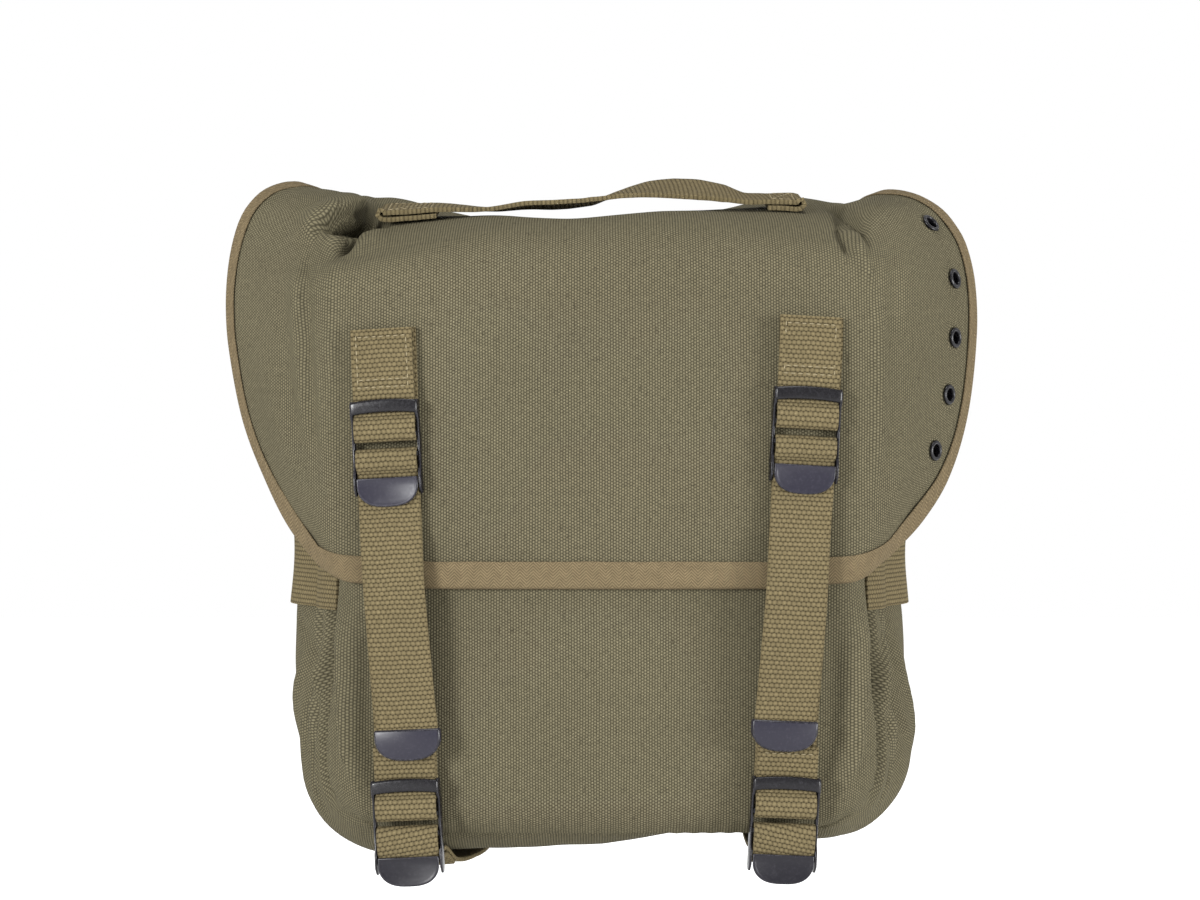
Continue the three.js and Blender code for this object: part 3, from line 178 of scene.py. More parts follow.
# %% The knuckles of a plain weave, as a height from 0 to 1, and the holes between them
def plain_weave(tree, across_mm, along_mm, wander, stagger="Y"):
    flat = add(tree, "UVMap", uv_map="cloth")
    drift = grain(tree, flat, 45.0, 2.0).node.outputs["Color"]
    spread = maths(tree, "SUBTRACT", drift, (0.5, 0.5, 0.5), kind="VectorMath")
    threads = maths(tree, "MULTIPLY", flat, (1000 / across_mm, 1000 / along_mm, 0), kind="VectorMath")
    moved = maths(tree, "MULTIPLY_ADD", spread, (wander, wander, 0), threads, kind="VectorMath")
    parts = add(tree, "SeparateXYZ", {0: moved}).node.outputs
    steady = parts["X" if stagger == "Y" else "Y"]
    half_step = maths(tree, "MULTIPLY_ADD", maths(tree, "FLOOR", steady), 0.5, parts[stagger])
    swell = []
    for place in (steady, half_step):
        angle = maths(tree, "MULTIPLY", maths(tree, "FRACT", place), math.pi)
        swell.append(maths(tree, "SINE", angle))
    gaps = [maths(tree, "SUBTRACT", 1.0, share) for share in swell]
    return flat, moved, maths(tree, "MULTIPLY", *swell), maths(tree, "MULTIPLY", *gaps)


# %% Streaks where a thread is thicker and darker than its neighbours
def slubs(tree, threads, stretch, start, end):
    streaks = grain(tree, maths(tree, "MULTIPLY", threads, stretch, kind="VectorMath"), 1.0, 2.0, 0.6)
    return spread_out(tree, streaks, start, end, 0.0, 1.0, interpolation_type="SMOOTHSTEP")


# %% Cotton duck canvas: dull olive drab, with dark flecks where slubs take the dye
CANVAS_ACROSS, CANVAS_ALONG = 1.1, 1.26  # millimetres between knuckles
duck_canvas, tree, shader = start_material("duck_canvas")
flat, threads, knuckle, _ = plain_weave(tree, CANVAS_ACROSS, CANVAS_ALONG, 0.6)
body = blend(tree, knuckle, linear("#2d2a20"), linear("#5c5745"))
body = mottled(
    tree, body, (grain(tree, flat, 420.0, 3.0, 0.7), 0.84, 1.16), (grain(tree, flat, 14.0, 3.0), 0.93, 1.07)
)
for stretch, strength in (((0.85, 0.22, 0), 0.4), ((0.2, 0.85, 0), 0.3)):
    fleck = slubs(tree, threads, stretch, 0.60, 0.74)
    body = blend(tree, maths(tree, "MULTIPLY", fleck, strength), body, linear("#211e17"))
height = maths(tree, "MULTIPLY_ADD", grain(tree, flat, 1500.0, 2.0), 0.35, knuckle)
finish_surface(tree, shader, body, height, 0.00022, 0.8, 0.97, 0.04)

# %% Cotton webbing: thick soft yarns, with small dark holes between them
WEB_ACROSS, WEB_ALONG = 1.95, 1.8
cotton_webbing, tree, shader = start_material("cotton_webbing")
flat, threads, knuckle, hole = plain_weave(tree, WEB_ACROSS, WEB_ALONG, 0.55, "X")
closed = spread_out(tree, hole, 0.16, 0.6, 1.0, 0.0)
round_knuckle = maths(tree, "MULTIPLY_ADD", closed, 0.5, maths(tree, "MULTIPLY", knuckle, 0.5))
body = blend(tree, round_knuckle, linear("#2a2417"), linear("#5a513b"))
body = mottled(
    tree, body, (grain(tree, flat, 500.0, 3.0, 0.7), 0.78, 1.2), (grain(tree, flat, 30.0, 3.0), 0.92, 1.08)
)
height = maths(tree, "MULTIPLY_ADD", grain(tree, flat, 1300.0, 3.0), 0.4, round_knuckle)
finish_surface(tree, shader, body, height, 0.0006, 0.9, 0.95, 0.06)

# %% Herringbone tape: fine slanted ribs that change direction every few millimetres
RIB_MM, ZIGZAG_MM = 1.25, 5.2
herringbone_tape, tree, shader = start_material("herringbone_tape")
flat = add(tree, "UVMap", uv_map="cloth")
mm_place = add(tree, "VectorMath", {0: flat, "Scale": 1000.0}, operation="SCALE")
parts = add(tree, "SeparateXYZ", {0: mm_place}).node.outputs
slant = maths(tree, "ADD", parts["Y"], maths(tree, "PINGPONG", parts["X"], ZIGZAG_MM / 2))
rib = maths(tree, "SINE", maths(tree, "MULTIPLY", slant, 2 * math.pi / RIB_MM))
rib_share = spread_out(tree, rib, -1.0, 1.0, 0.0, 1.0)
body = blend(tree, rib_share, linear("#453c2c"), linear("#5d523e"))
body = mottled(tree, body, (grain(tree, flat, 260.0, 4.0, 0.7), 0.8, 1.16))
finish_surface(tree, shader, body, rib_share, 0.00015, 0.8, 0.9, 0.06)

# %% Enamelled steel: pressed sheet dipped in black enamel, smooth but a little orange-peeled
def enamel(name, colour, roughness, scuffed):
    material, tree, shader = start_material(name)
    place = add(tree, "TexCoord").node.outputs["Object"]
    scuffs = grain(tree, place, 900.0, 5.0, 0.75)
    amount = spread_out(tree, scuffs, 0.52, 0.75, 0.0, scuffed)
    body = blend(tree, amount, linear(colour), linear("#6b6974"))
    finish_surface(tree, shader, body, grain(tree, place, 600.0, 2.0), 0.00004, 0.5, roughness, 0.22)
    dull = spread_out(tree, scuffs, 0.3, 0.7, roughness - 0.06, roughness + 0.1)
    tree.links.new(dull, shader["Roughness"])
    return material


black_enamel = enamel("black_enamelled_steel", "#0a090c", 0.26, 0.06)
# A lighter copy of the black enamel: painted sheen, standing for the light that the upward-facing thumb plates and
# the strap tips catch
painted_sheen_enamel = enamel("painted_sheen_enamel", "#1a1922", 0.34, 0.08)
# A darker copy of the black enamel: painted shade on the lower buckles' thumb plates
shaded_enamel = enamel("shaded_enamel", "#0e0d13", 0.36, 0.05)
worn_edge = enamel("worn_enamel_edge", "#17161b", 0.26, 0.2)

# %% Sewing thread: waxed cotton, a shade lighter than the webbing
sewing_thread, tree, shader = start_material("waxed_cotton_thread")
strands = grain(tree, add(tree, "TexCoord").node.outputs["Object"], 2200.0, 2.0)
tree.links.new(blend(tree, strands, linear("#4a4230"), linear("#7a6f52")), shader["Base Color"])
shader["Roughness"].default_value = 0.7
print("materials:", [m.name for m in bpy.data.materials])

# %% [markdown]
# ## The bag's own sizes
# All sizes are in millimetres, in the bag's own coordinates: z is 0 at the bottom seam of the front panel
# and y is 0 at the back. They are the sizes that the solid model was built from, so the cloth lands where
# it lies.

# %% Sizes and small helpers
CANVAS, WEBBING, TAPE = 1.6, 2.0, 0.8
WEBBING_WIDTH, TAPE_WIDTH, TAPE_GAP = 24.4, 9.5, 0.25
GAP, FACET_GAP = 0.35, 0.3
BODY_HEIGHT, PANEL_HALF_WIDTH, CORNER_RADIUS = 222, 110, 26
FRONT_BULGE, EDGE_TURN, TURN_WIDTH, MOUTH_LEAN = 9, 8, 11, 4
GUSSET_BULGE, BACK_HEIGHT = 24, 240


def lerp(a, b, share):
    return a + (b - a) * share


def clamp(value, low=0.0, high=1.0):
    return min(max(value, low), high)


def smooth(value):
    return clamp(value) ** 2 * (3 - 2 * clamp(value))


def hill(value):
    return (1 - value * value) ** 2 if abs(value) < 1 else 0.0


def table(names, *rows):
    return [dict(zip(names.split(), row)) for row in rows]


# %% A curve from a to b that leaves and arrives by given leads, and such a curve through the rows of a table
def curve(a, b, lead_a, lead_b, t):
    t2, t3 = t * t, t * t * t
    return a * (2 * t3 - 3 * t2 + 1) + lead_a * (t3 - 2 * t2 + t) + b * (3 * t2 - 2 * t3) + lead_b * (t3 - t2)


def column(rows, name, share):
    i = 0
    while i < len(rows) - 2 and share > rows[i + 1]["at"]:
        i += 1
    a, b = rows[i], rows[i + 1]
    before, after = rows[max(i - 1, 0)], rows[min(i + 2, len(rows) - 1)]
    width = b["at"] - a["at"]
    t = clamp((share - a["at"]) / width)
    straight = (b[name] - a[name]) / width
    slope_a = straight if before is a else (b[name] - before[name]) / (b["at"] - before["at"])
    slope_b = straight if after is b else (after[name] - a[name]) / (after["at"] - a["at"])
    return curve(a[name], b[name], width * slope_a, width * slope_b, t)


# %% Places in metres, and even steps between stops
def metres(place):
    return Vector((place[0], place[1], place[2] - BELT_HEIGHT)) * MM


def steps(stops, counts):
    values = [stops[0]]
    for i, count in enumerate(counts):
        values += [lerp(stops[i], stops[i + 1], (k + 1) / count) for k in range(count)]
    return values


# %% [markdown]
# ## How a piece of cloth is made
# A flat grid is moved, point by point, on to the shape that the sewn cloth takes. The grid keeps two things
# from the flat cloth: its distance across and its distance along, which become the map that the weave
# follows. Small lumps push the cloth in and out, and a Solidify modifier gives it its thickness.

# %% Finish a piece: material, body and the solids that it stands for
def finish_piece(name, bm, material, slot_name, replaced, extra_materials=()):
    mesh = bpy.data.meshes.new(name)
    bm.to_mesh(mesh)
    bm.free()
    piece = bpy.data.objects.new(name, mesh)
    scene.collection.objects.link(piece)
    for finish in (material, *extra_materials):
        mesh.materials.append(finish)
    mesh.polygons.foreach_set("use_smooth", [True] * len(mesh.polygons))
    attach(piece, "root")
    if replaced:
        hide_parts(*replaced)
    return piece


def thicken(piece, thickness, rim):
    wall = piece.modifiers.new("wall", "SOLIDIFY")
    wall.thickness = thickness * MM
    wall.offset = 0.0
    rounded = piece.modifiers.new("rounded_rim", "BEVEL")
    rounded.width = rim * MM
    rounded.segments = 2
    rounded.limit_method = "ANGLE"
    rounded.angle_limit = math.radians(55)


# %% Turn a whole piece into its place, and from millimetres into metres
def settle(bm, place):
    for vert in bm.verts:
        vert.co = metres(place @ vert.co)
    bmesh.ops.recalc_face_normals(bm, faces=bm.faces)


# %% Punch a round hole: the cloth's nearest point moves to its centre, its ring of neighbours makes the rim
HOLE_RADIUS, HOLE_REACH = 3.5, 8.0


def punch_hole(bm, place):
    centre = min(bm.verts, key=lambda vert: (vert.co - place).length_squared)
    move = place - centre.co
    near = [vert for vert in bm.verts if (vert.co - centre.co).length < HOLE_REACH]
    ring = {vert for face in centre.link_faces for vert in face.verts}
    start = centre.co.copy()
    for vert in near:
        vert.co += move * smooth(1 - (vert.co - start).length / HOLE_REACH)
    for vert in near:
        away = vert.co - place
        far = lerp(HOLE_RADIUS, HOLE_REACH, (away.length / HOLE_REACH) ** 1.2)
        far = HOLE_RADIUS if vert in ring else far
        if vert is not centre:
            vert.co = place + away.normalized() * far
    bmesh.ops.delete(bm, geom=[centre], context="VERTS")


# %% A sheet: a grid moved on to a surface, with its flat map and its lumps
# Its stuff is a thickness, a material and a slot, and replaced lists the solids that it stands for.
def sheet(name, surface, us, vs, stuff, replaced, outward, relief=None, holes=(), rim=0.35):
    thickness, material, slot_name = stuff
    bm = bmesh.new()
    columns, rows = len(us), len(vs)
    bmesh.ops.create_grid(bm, x_segments=columns - 1, y_segments=rows - 1, size=0.5)
    grid = [[None] * rows for _ in range(columns)]
    shares = {}
    for vert in bm.verts:
        i = round((vert.co.x + 0.5) * (columns - 1))
        j = round((vert.co.y + 0.5) * (rows - 1))
        grid[i][j] = vert
        shares[vert] = (i, j)
        vert.co = surface(us[i], vs[j])
    middle_row, middle_column = rows // 2, columns // 2
    across = [[0.0] * rows for _ in range(columns)]
    along = [[0.0] * rows for _ in range(columns)]
    for way in (1, -1):
        for i in range(middle_column + way, columns if way > 0 else -1, way):
            for j in range(rows):
                across[i][j] = across[i - way][j] + way * (grid[i][j].co - grid[i - way][j].co).length
        for j in range(middle_row + way, rows if way > 0 else -1, way):
            for i in range(columns):
                along[i][j] = along[i][j - way] + way * (grid[i][j].co - grid[i][j - way].co).length
    layer = bm.loops.layers.uv.new("cloth")
    for face in bm.faces:
        for loop in face.loops:
            i, j = shares[loop.vert]
            loop[layer].uv = (across[i][j] * MM, along[i][j] * MM)
    bm.normal_update()
    middle_vert = grid[middle_column][middle_row]
    if middle_vert.normal.dot(Vector(outward)) < 0:
        bmesh.ops.reverse_faces(bm, faces=bm.faces)
        bm.normal_update()
    if relief:
        pushes = [(v, v.normal.copy(), relief(us[i], vs[j], v.co)) for v, (i, j) in shares.items()]
        for vert, normal, push in pushes:
            vert.co += normal * push
    for place in holes:
        punch_hole(bm, place)
    area = sum(face.calc_area() for face in bm.faces)
    for vert in bm.verts:
        vert.co = metres(vert.co)
    thicken(finish_piece(name, bm, material, slot_name, replaced), thickness, rim)
    print(name, "cloth area, square centimetres:", round(area / 100))


# %% Slow lumps that any stuffed cloth shows
def lumps(place, size, height, seed):
    return height * noise.noise(place / size + Vector((seed, 2 * seed, 3 * seed)))


# %% A fold follows a line of places in the front view: it rises over one width, and falls over the other
def fold_push(x, z, fold):
    line, height, left_width, right_width = fold
    total = sum(math.dist(a, b) for a, b in zip(line, line[1:]))
    walked, best, best_push = 0.0, 1e9, 0.0
    for (ax, az), (bx, bz) in zip(line, line[1:]):
        length = math.dist((ax, az), (bx, bz))
        t = clamp(((x - ax) * (bx - ax) + (z - az) * (bz - az)) / length**2)
        away = math.dist((x, z), (lerp(ax, bx, t), lerp(az, bz, t)))
        if away < best:
            best = away
            side = (bx - ax) * (z - az) - (bz - az) * (x - ax)
            width = left_width if side > 0 else right_width
            share = (walked + t * length) / total
            taper = smooth(share / 0.3) * smooth((1 - share) / 0.3)
            best_push = height * taper * (1 - smooth(away / width))
        walked += length
    return best_push


# %% [markdown]
# ## Front and back panels
# Each panel is a U of canvas with round lower corners. Its rim is turned in where it meets the side strip, so
# the edge reads as a soft roll. The stuffed front stands out in the middle and is held in near the straps.

# %% The panel's outline and depth
PANEL_WIDTHS = table("at width", (0, 0.985), (0.16, 1.0), (0.28, 0.975), (0.48, 0.955), (0.7, 0.99), (1, 1.0))


def half_width_at(height):
    full = PANEL_HALF_WIDTH * column(PANEL_WIDTHS, "width", clamp(height / BODY_HEIGHT))
    below = clamp(CORNER_RADIUS - height, 0, CORNER_RADIUS)
    return full - CORNER_RADIUS + math.sqrt(CORNER_RADIUS**2 - below**2)


def rim_turn(x, height):
    side = max(1 - (half_width_at(height) - abs(x)) / TURN_WIDTH, 0)
    bottom = max(1 - height / TURN_WIDTH, 0)
    return min(math.hypot(side, bottom) ** 2, 1)


def front_y(x, height):
    across = clamp(abs(x) / PANEL_HALF_WIDTH)
    up = clamp(height / BODY_HEIGHT)
    swell = (1 - across**2.4) * (0.45 + 0.55 * math.sin(math.pi * clamp(0.18 + 0.75 * up)))
    rim = rim_turn(x, height)
    lean = MOUTH_LEAN * smooth((up - 0.86) / 0.14) * (1 - rim)
    return -BODY_DEPTH - FRONT_BULGE * swell + EDGE_TURN * rim + lean


def back_y(x, height):
    return -CANVAS / 2 - EDGE_TURN * rim_turn(x, height)


def panel_surface(depth_at):
    def surface(share, height):
        x = (2 * share - 1) * half_width_at(height)
        return Vector((x, depth_at(x, height), height))

    return surface


# %% Panels
CANVAS_STUFF = (CANVAS, duck_canvas, "canvas")


def corner_heights(top, rows):
    turn = [CORNER_RADIUS * (1 - math.cos(math.radians(angle))) for angle in range(0, 90, 5)]
    return turn + [lerp(CORNER_RADIUS, top, k / rows) for k in range(rows + 1)]


panel_shares = steps([0, 0.07, 0.93, 1], [10, 90, 10])


PANEL_FOLDS = [
    ([(-104, 100), (-104, 62), (-102, 32), (-94, 8)], 3.6, 9, 2.6),
    ([(-92, 92), (-93, 60), (-90, 30), (-80, 12)], -1.1, 6, 6),
    ([(104, 100), (104, 62), (102, 32), (94, 8)], 3.6, 2.6, 9),
    ([(92, 90), (92, 60), (90, 32), (84, 14)], -1.1, 6, 6),
    ([(-60, 16), (-20, 12), (30, 13), (62, 17)], 0.9, 8, 5),
    ([(-45, 70), (-20, 58), (0, 52)], 0.7, 12, 12),
]


def front_lumps(share, height, place):
    calm = 1 - rim_turn(place.x, height)
    folds = sum(fold_push(place.x, place.z, fold) for fold in PANEL_FOLDS)
    pucker = 0.35 * math.sin(place.x * 0.9) * hill((height - 5) / 9)
    return calm * (lumps(place, 46, 1.1, 1) + lumps(place, 17, 0.3, 2)) + folds + pucker


sheet(
    "front_panel_cloth", panel_surface(front_y), panel_shares, corner_heights(BODY_HEIGHT, 80), CANVAS_STUFF,
    ["front_panel"], (0, -1, 0), front_lumps,
)
sheet(
    "back_panel_cloth", panel_surface(back_y), panel_shares, corner_heights(BACK_HEIGHT, 60), CANVAS_STUFF,
    ["back_panel"], (0, 1, 0),
    lambda share, height, place: -abs(lumps(place, 50, 1.2, 3)) * (1 - rim_turn(place.x, height)),
)

# %% [markdown]
# ## The side strip
# One long strip of canvas runs down a side, under the bottom and up the other side. It bulges between its two
# seams, and behind the front seam it keeps one upright fold, because the bag was packed flat before it was
# stuffed. Slanted creases run from that fold down to the corner.

# %% The strip's surface
GUSSET_FOLDS = table(
    "at side bottom", (0, 0, 0), (0.09, 0.2, 0.42), (0.18, 0.36, 0.72), (0.28, 0.34, 0.92), (0.44, 0.86, 1.0),
    (0.6, 1.0, 0.96), (0.8, 0.72, 0.7), (1, 0, 0),
)
GUSSET_FULLNESS = {
    -1: table(
        "at full", (0, 0.26), (0.1, 0.6), (0.22, 0.86), (0.34, 0.9), (0.44, 0.97), (0.52, 0.87), (0.614, 0.7),
        (0.678, 0.8), (0.742, 0.6), (0.87, 0.5), (1, 0.4),
    ),
    1: table(
        "at full", (0, 0.26), (0.1, 0.6), (0.22, 0.82), (0.34, 0.84), (0.44, 0.88), (0.52, 0.86),
        (0.614, 0.86), (0.678, 0.7), (0.742, 0.3), (0.87, 0.14), (1, 0.4),
    ),
}
SEAM_GAP = CANVAS / 2 + GAP
FRONT_SEAM = -BODY_DEPTH + EDGE_TURN + SEAM_GAP
BACK_SEAM = -CANVAS / 2 - EDGE_TURN - SEAM_GAP
STRAIGHT = BODY_HEIGHT - CORNER_RADIUS
CORNER_ARC = CORNER_RADIUS * math.pi / 2
BOTTOM_HALF = PANEL_HALF_WIDTH * PANEL_WIDTHS[0]["width"] - CORNER_RADIUS
OUTLINE_HALF = STRAIGHT + CORNER_ARC + BOTTOM_HALF


def outline_at(share):
    sign = -1 if share < 0.5 else 1
    along = OUTLINE_HALF * (1 - abs(2 * share - 1))
    if along < STRAIGHT:
        height = BODY_HEIGHT - along
        return sign * half_width_at(height), height, Vector((sign, 0, 0)), 0.0
    if along < STRAIGHT + CORNER_ARC:
        angle = (along - STRAIGHT) / CORNER_RADIUS
        height = CORNER_RADIUS * (1 - math.sin(angle))
        out = Vector((sign * math.cos(angle), 0, -math.sin(angle)))
        return sign * half_width_at(height), height, out, smooth(angle / (math.pi / 2))
    return sign * (OUTLINE_HALF - along), 0.0, Vector((0, 0, -1)), 1.0


def gusset_surface(share, depth_share):
    place = clamp(share)
    x, z, out, below = outline_at(place)
    rows = GUSSET_FULLNESS[-1 if place < 0.5 else 1]
    full = GUSSET_BULGE * column(rows, "full", 1 - abs(2 * place - 1))
    side, bottom = (column(GUSSET_FOLDS, name, depth_share) for name in ("side", "bottom"))
    y = lerp(FRONT_SEAM, BACK_SEAM, depth_share)
    return Vector((x, y, z)) + out * full * lerp(side, bottom, below)


# %% Creases of the strip, each a ridge from one place to another, and the strip itself
CREASES = table(
    "side low low_depth high high_depth width height",
    (-1, 60, 0.16, 104, 0.3, 0.045, 4.6),
    (-1, 8, 0.36, 66, 0.13, 0.05, 5.2),
    (-1, 20, 0.5, 60, 0.28, 0.05, -2.6),
    (-1, 40, 0.17, 100, 0.2, 0.035, -3.0),
    (-1, 2, 0.2, 40, 0.16, 0.035, 1.6),
    (-1, 30, 0.62, 74, 0.34, 0.06, 1.8),
    (-1, 66, 0.3, 90, 0.52, 0.05, -1.6),
    (1, 58, 0.14, 100, 0.3, 0.045, 4.0),
    (1, 10, 0.32, 60, 0.14, 0.05, 4.2),
    (1, 34, 0.17, 90, 0.22, 0.035, -2.6),
    (1, 24, 0.46, 56, 0.28, 0.05, -1.6),
    (1, 26, 0.6, 80, 0.36, 0.06, 1.8),
)


GROOVE_DEPTH, GROOVE_AT, GROOVE_WIDTH = 7.5, 0.07, 0.065  # millimetres, then shares of the strip's depth


def gusset_creases(share, depth_share, place):
    push = lumps(place, 30, 0.9, 4) + lumps(place, 12, 0.3, 5)
    for crease in [row for row in CREASES if place.x * row["side"] >= 0]:
        up = (place.z - crease["low"]) / (crease["high"] - crease["low"])
        middle = lerp(crease["low_depth"], crease["high_depth"], clamp(up))
        push += crease["height"] * hill((depth_share - middle) / crease["width"]) * hill((up - 0.5) / 0.8)
    groove = -GROOVE_DEPTH * hill((depth_share - GROOVE_AT) / GROOVE_WIDTH) * smooth((place.z - 4) / 20)
    pucker = 0.5 * math.sin(place.z * 0.8) * hill((depth_share - 0.03) / 0.06)
    return push * smooth(depth_share / 0.08) * smooth((1 - depth_share) / 0.08) + groove + pucker


corner_share, bottom_share = (length / OUTLINE_HALF / 2 for length in (STRAIGHT, STRAIGHT + CORNER_ARC))
strip_shares = steps([0, corner_share, bottom_share, 0.5], [80, 22, 36])
strip_shares += [1 - share for share in reversed(strip_shares[:-1])]
sheet(
    "side_strip_cloth", gusset_surface, strip_shares, steps([0, 0.45, 1], [34, 26]), CANVAS_STUFF,
    ["gusset"], (0, 0, -1), gusset_creases,
)

# %% [markdown]
# ## The flap
# The flap is one sheet: up the back, over the lid, down the front. At each side it goes on past the bag as
# a wing, which stands up as a round ear beside the lid and folds back along a soft crease. A tuck beside
# each ear takes up the spare cloth, with a crest on its outer side and a small valley on its inner side.

# %% Lid and wings
FLAP_GAP, FLAP_TOP, LID_DEPTH = 2.1, 250, 38
FLAP_FLATNESS = 0.93  # the flap is a little flatter across than the panel under it
HEM_LIFT = 2.2  # how far the hem rises towards its ends
WING_LEAD, WING_END = 0.3, 0.64  # how far the cloth runs on past the crease, and where it has turned
ROLL_START, ROLL_DEPTH, ROLL_SQUARENESS = 212, 66, 3
HEM_HEIGHT, CREASE_HALF_WIDTH, BACK_RIDGE_RADIUS, SEAM_DROP = 99.2, 112, 9, 15
WING_REACH, TUCK_WIDTH, CREASE_SHARE = 157, 5, 0.72
AT_BACK_RIDGE, AT_LID, AT_ROLL, AT_FRONT = 0.06, 0.11, 0.3, 0.52

LID = table(
    "at up slope", (-1, 0.968, 0.33), (-0.81, 0.98, 0.28), (-0.62, 0.99, 0.16), (-0.42, 0.998, 0.06),
    (-0.12, 0.994, 0.0), (0.22, 1.006, 0.03), (0.5, 1.004, 0.12), (0.71, 1.002, 0.2), (1, 0.99, 0.19),
)
WINGS = {
    -1: table(
        "at fold out back up lift dip",
        (0, 1, 0.72, 1.022, 0.936, 0, 0),
        (0.06, 0.98, 0.732, 1.009, 0.996, 0, 0),
        (0.12, 0.93, 0.755, 0.902, 1.034, 0.002, 0.002),
        (0.2, 0.9, 0.79, 0.75, 1.056, 0.006, 0.006),
        (0.27, 0.91, 0.841, 0.607, 1.064, 0.016, 0.016),
        (0.325, 0.945, 0.904, 0.518, 1.047, 0.034, 0.024),
        (0.365, 0.975, 0.946, 0.473, 1.016, 0.032, 0.024),
        (0.395, 0.992, 0.969, 0.455, 0.982, 0.01, 0.008),
        (0.44, 1, 0.987, 0.438, 0.926, 0, 0),
        (0.5, 1.01, 0.994, 0.429, 0.856, 0, 0),
        (0.57, 1.012, 0.985, 0.42, 0.78, 0, 0),
        (0.68, 1.012, 0.944, 0.384, 0.66, 0, 0),
        (0.8, 1, 0.873, 0.295, 0.558, 0, 0),
        (0.9, 0.955, 0.803, 0.179, 0.486, 0, 0),
        (1, 0.875, 0.718, 0.071, 0.427, 0, 0),
    ),
    1: table(
        "at fold out back up lift dip",
        (0, 1, 0.72, 1.022, 0.936, 0, 0),
        (0.06, 0.98, 0.732, 1.009, 0.996, 0, 0),
        (0.12, 0.94, 0.742, 0.902, 1.03, 0.001, 0.001),
        (0.2, 0.92, 0.755, 0.75, 1.048, 0.004, 0.006),
        (0.27, 0.93, 0.79, 0.625, 1.051, 0.01, 0.012),
        (0.325, 0.955, 0.847, 0.536, 1.039, 0.018, 0.016),
        (0.365, 0.975, 0.898, 0.491, 1.018, 0.018, 0.016),
        (0.395, 0.988, 0.93, 0.473, 0.996, 0.006, 0.006),
        (0.44, 0.997, 0.965, 0.455, 0.956, 0, 0),
        (0.5, 1, 0.987, 0.433, 0.89, 0, 0),
        (0.57, 1, 0.989, 0.411, 0.804, 0, 0),
        (0.68, 1, 0.962, 0.371, 0.674, 0, 0),
        (0.8, 0.99, 0.904, 0.286, 0.569, 0, 0),
        (0.9, 0.945, 0.827, 0.188, 0.499, 0, 0),
        (1, 0.865, 0.734, 0.094, 0.443, 0, 0),
    ),
}


def flap_front_y(x, height):
    return front_y(x * FLAP_FLATNESS, min(height, ROLL_START)) - CANVAS - FLAP_GAP


def lid_height(x, y):
    across = clamp(x / CREASE_HALF_WIDTH, -1, 1)
    behind = clamp(BODY_DEPTH + y, 10, BODY_DEPTH)
    return FLAP_TOP * column(LID, "up", across) + column(LID, "slope", across) * (behind - LID_DEPTH)


def hem_height(x):
    return HEM_HEIGHT + HEM_LIFT * smooth((abs(x) - 62) / 40)


# %% The middle of the flap, from its seam on the back to its hem
def flap_middle(share, v):
    rows = WINGS[-1 if share < 0 else 1]
    crease = CREASE_HALF_WIDTH * column(rows, "fold", v)
    x = share * crease
    from_crest = crease - abs(x)
    flank = smooth(1 - from_crest / TUCK_WIDTH)
    valley = hill((from_crest - TUCK_WIDTH) / (1.5 * TUCK_WIDTH))
    rise = FLAP_TOP * (column(rows, "lift", v) * flank - column(rows, "dip", v) * valley * (1 - flank))
    back_face = CANVAS / 2 + GAP
    ridge = back_face - BACK_RIDGE_RADIUS
    if v < AT_BACK_RIDGE:
        top = lid_height(x, ridge) - BACK_RIDGE_RADIUS
        return Vector((x, back_face, lerp(BACK_HEIGHT - SEAM_DROP, top, v / AT_BACK_RIDGE)))
    if v < AT_LID:
        angle = (v - AT_BACK_RIDGE) / (AT_LID - AT_BACK_RIDGE) * math.pi / 2
        height = lid_height(x, ridge) - BACK_RIDGE_RADIUS * (1 - math.sin(angle))
        return Vector((x, ridge + BACK_RIDGE_RADIUS * math.cos(angle), height + rise))
    front_line = flap_front_y(x, ROLL_START)
    if v < AT_ROLL:
        y = lerp(ridge, front_line + ROLL_DEPTH, (v - AT_LID) / (AT_ROLL - AT_LID))
        return Vector((x, y, lid_height(x, y) + rise))
    if v < AT_FRONT:
        angle = (1 - (v - AT_ROLL) / (AT_FRONT - AT_ROLL)) * math.pi / 2
        power = 2 / ROLL_SQUARENESS
        y = front_line + ROLL_DEPTH * (1 - max(math.cos(angle), 0) ** power)
        climb = max(math.sin(angle), 0) ** power
        return Vector((x, y, ROLL_START + (lid_height(x, y) - ROLL_START) * climb + rise))
    height = lerp(ROLL_START, hem_height(x), (v - AT_FRONT) / (1 - AT_FRONT))
    return Vector((x, flap_front_y(x, height), height))


# %% The whole flap: from the left edge (-1) over the middle (0) to the right edge (1)
def flap_surface(u, v):
    sign = -1 if u < 0 else 1
    across, along = abs(u), clamp(v)
    if across <= CREASE_SHARE:
        return flap_middle(sign * across / CREASE_SHARE, along)
    rows = WINGS[sign]
    crease = flap_middle(sign, along)
    edge = Vector(
        (
            sign * WING_REACH * column(rows, "out", along),
            -BODY_DEPTH * (1 - column(rows, "back", along)),
            FLAP_TOP * column(rows, "up", along),
        )
    )
    length = (crease - edge).length
    inside = (crease - flap_middle(sign * 0.99, along)).normalized()
    start = crease + inside * (length * WING_LEAD)
    end = crease.lerp(edge, WING_END)
    t = (across - CREASE_SHARE) / (1 - CREASE_SHARE)
    s = 1 - t
    return crease * s**3 + start * (3 * s * s * t) + end * (3 * s * t * t) + edge * t**3


def flap_normal(u, v):
    step = 1e-3
    u, v = clamp(u, -0.998, 0.998), clamp(v, 0.002, 0.998)
    along = flap_surface(u + step, v) - flap_surface(u - step, v)
    down = flap_surface(u, v + step) - flap_surface(u, v - step)
    return along.cross(down).normalized()


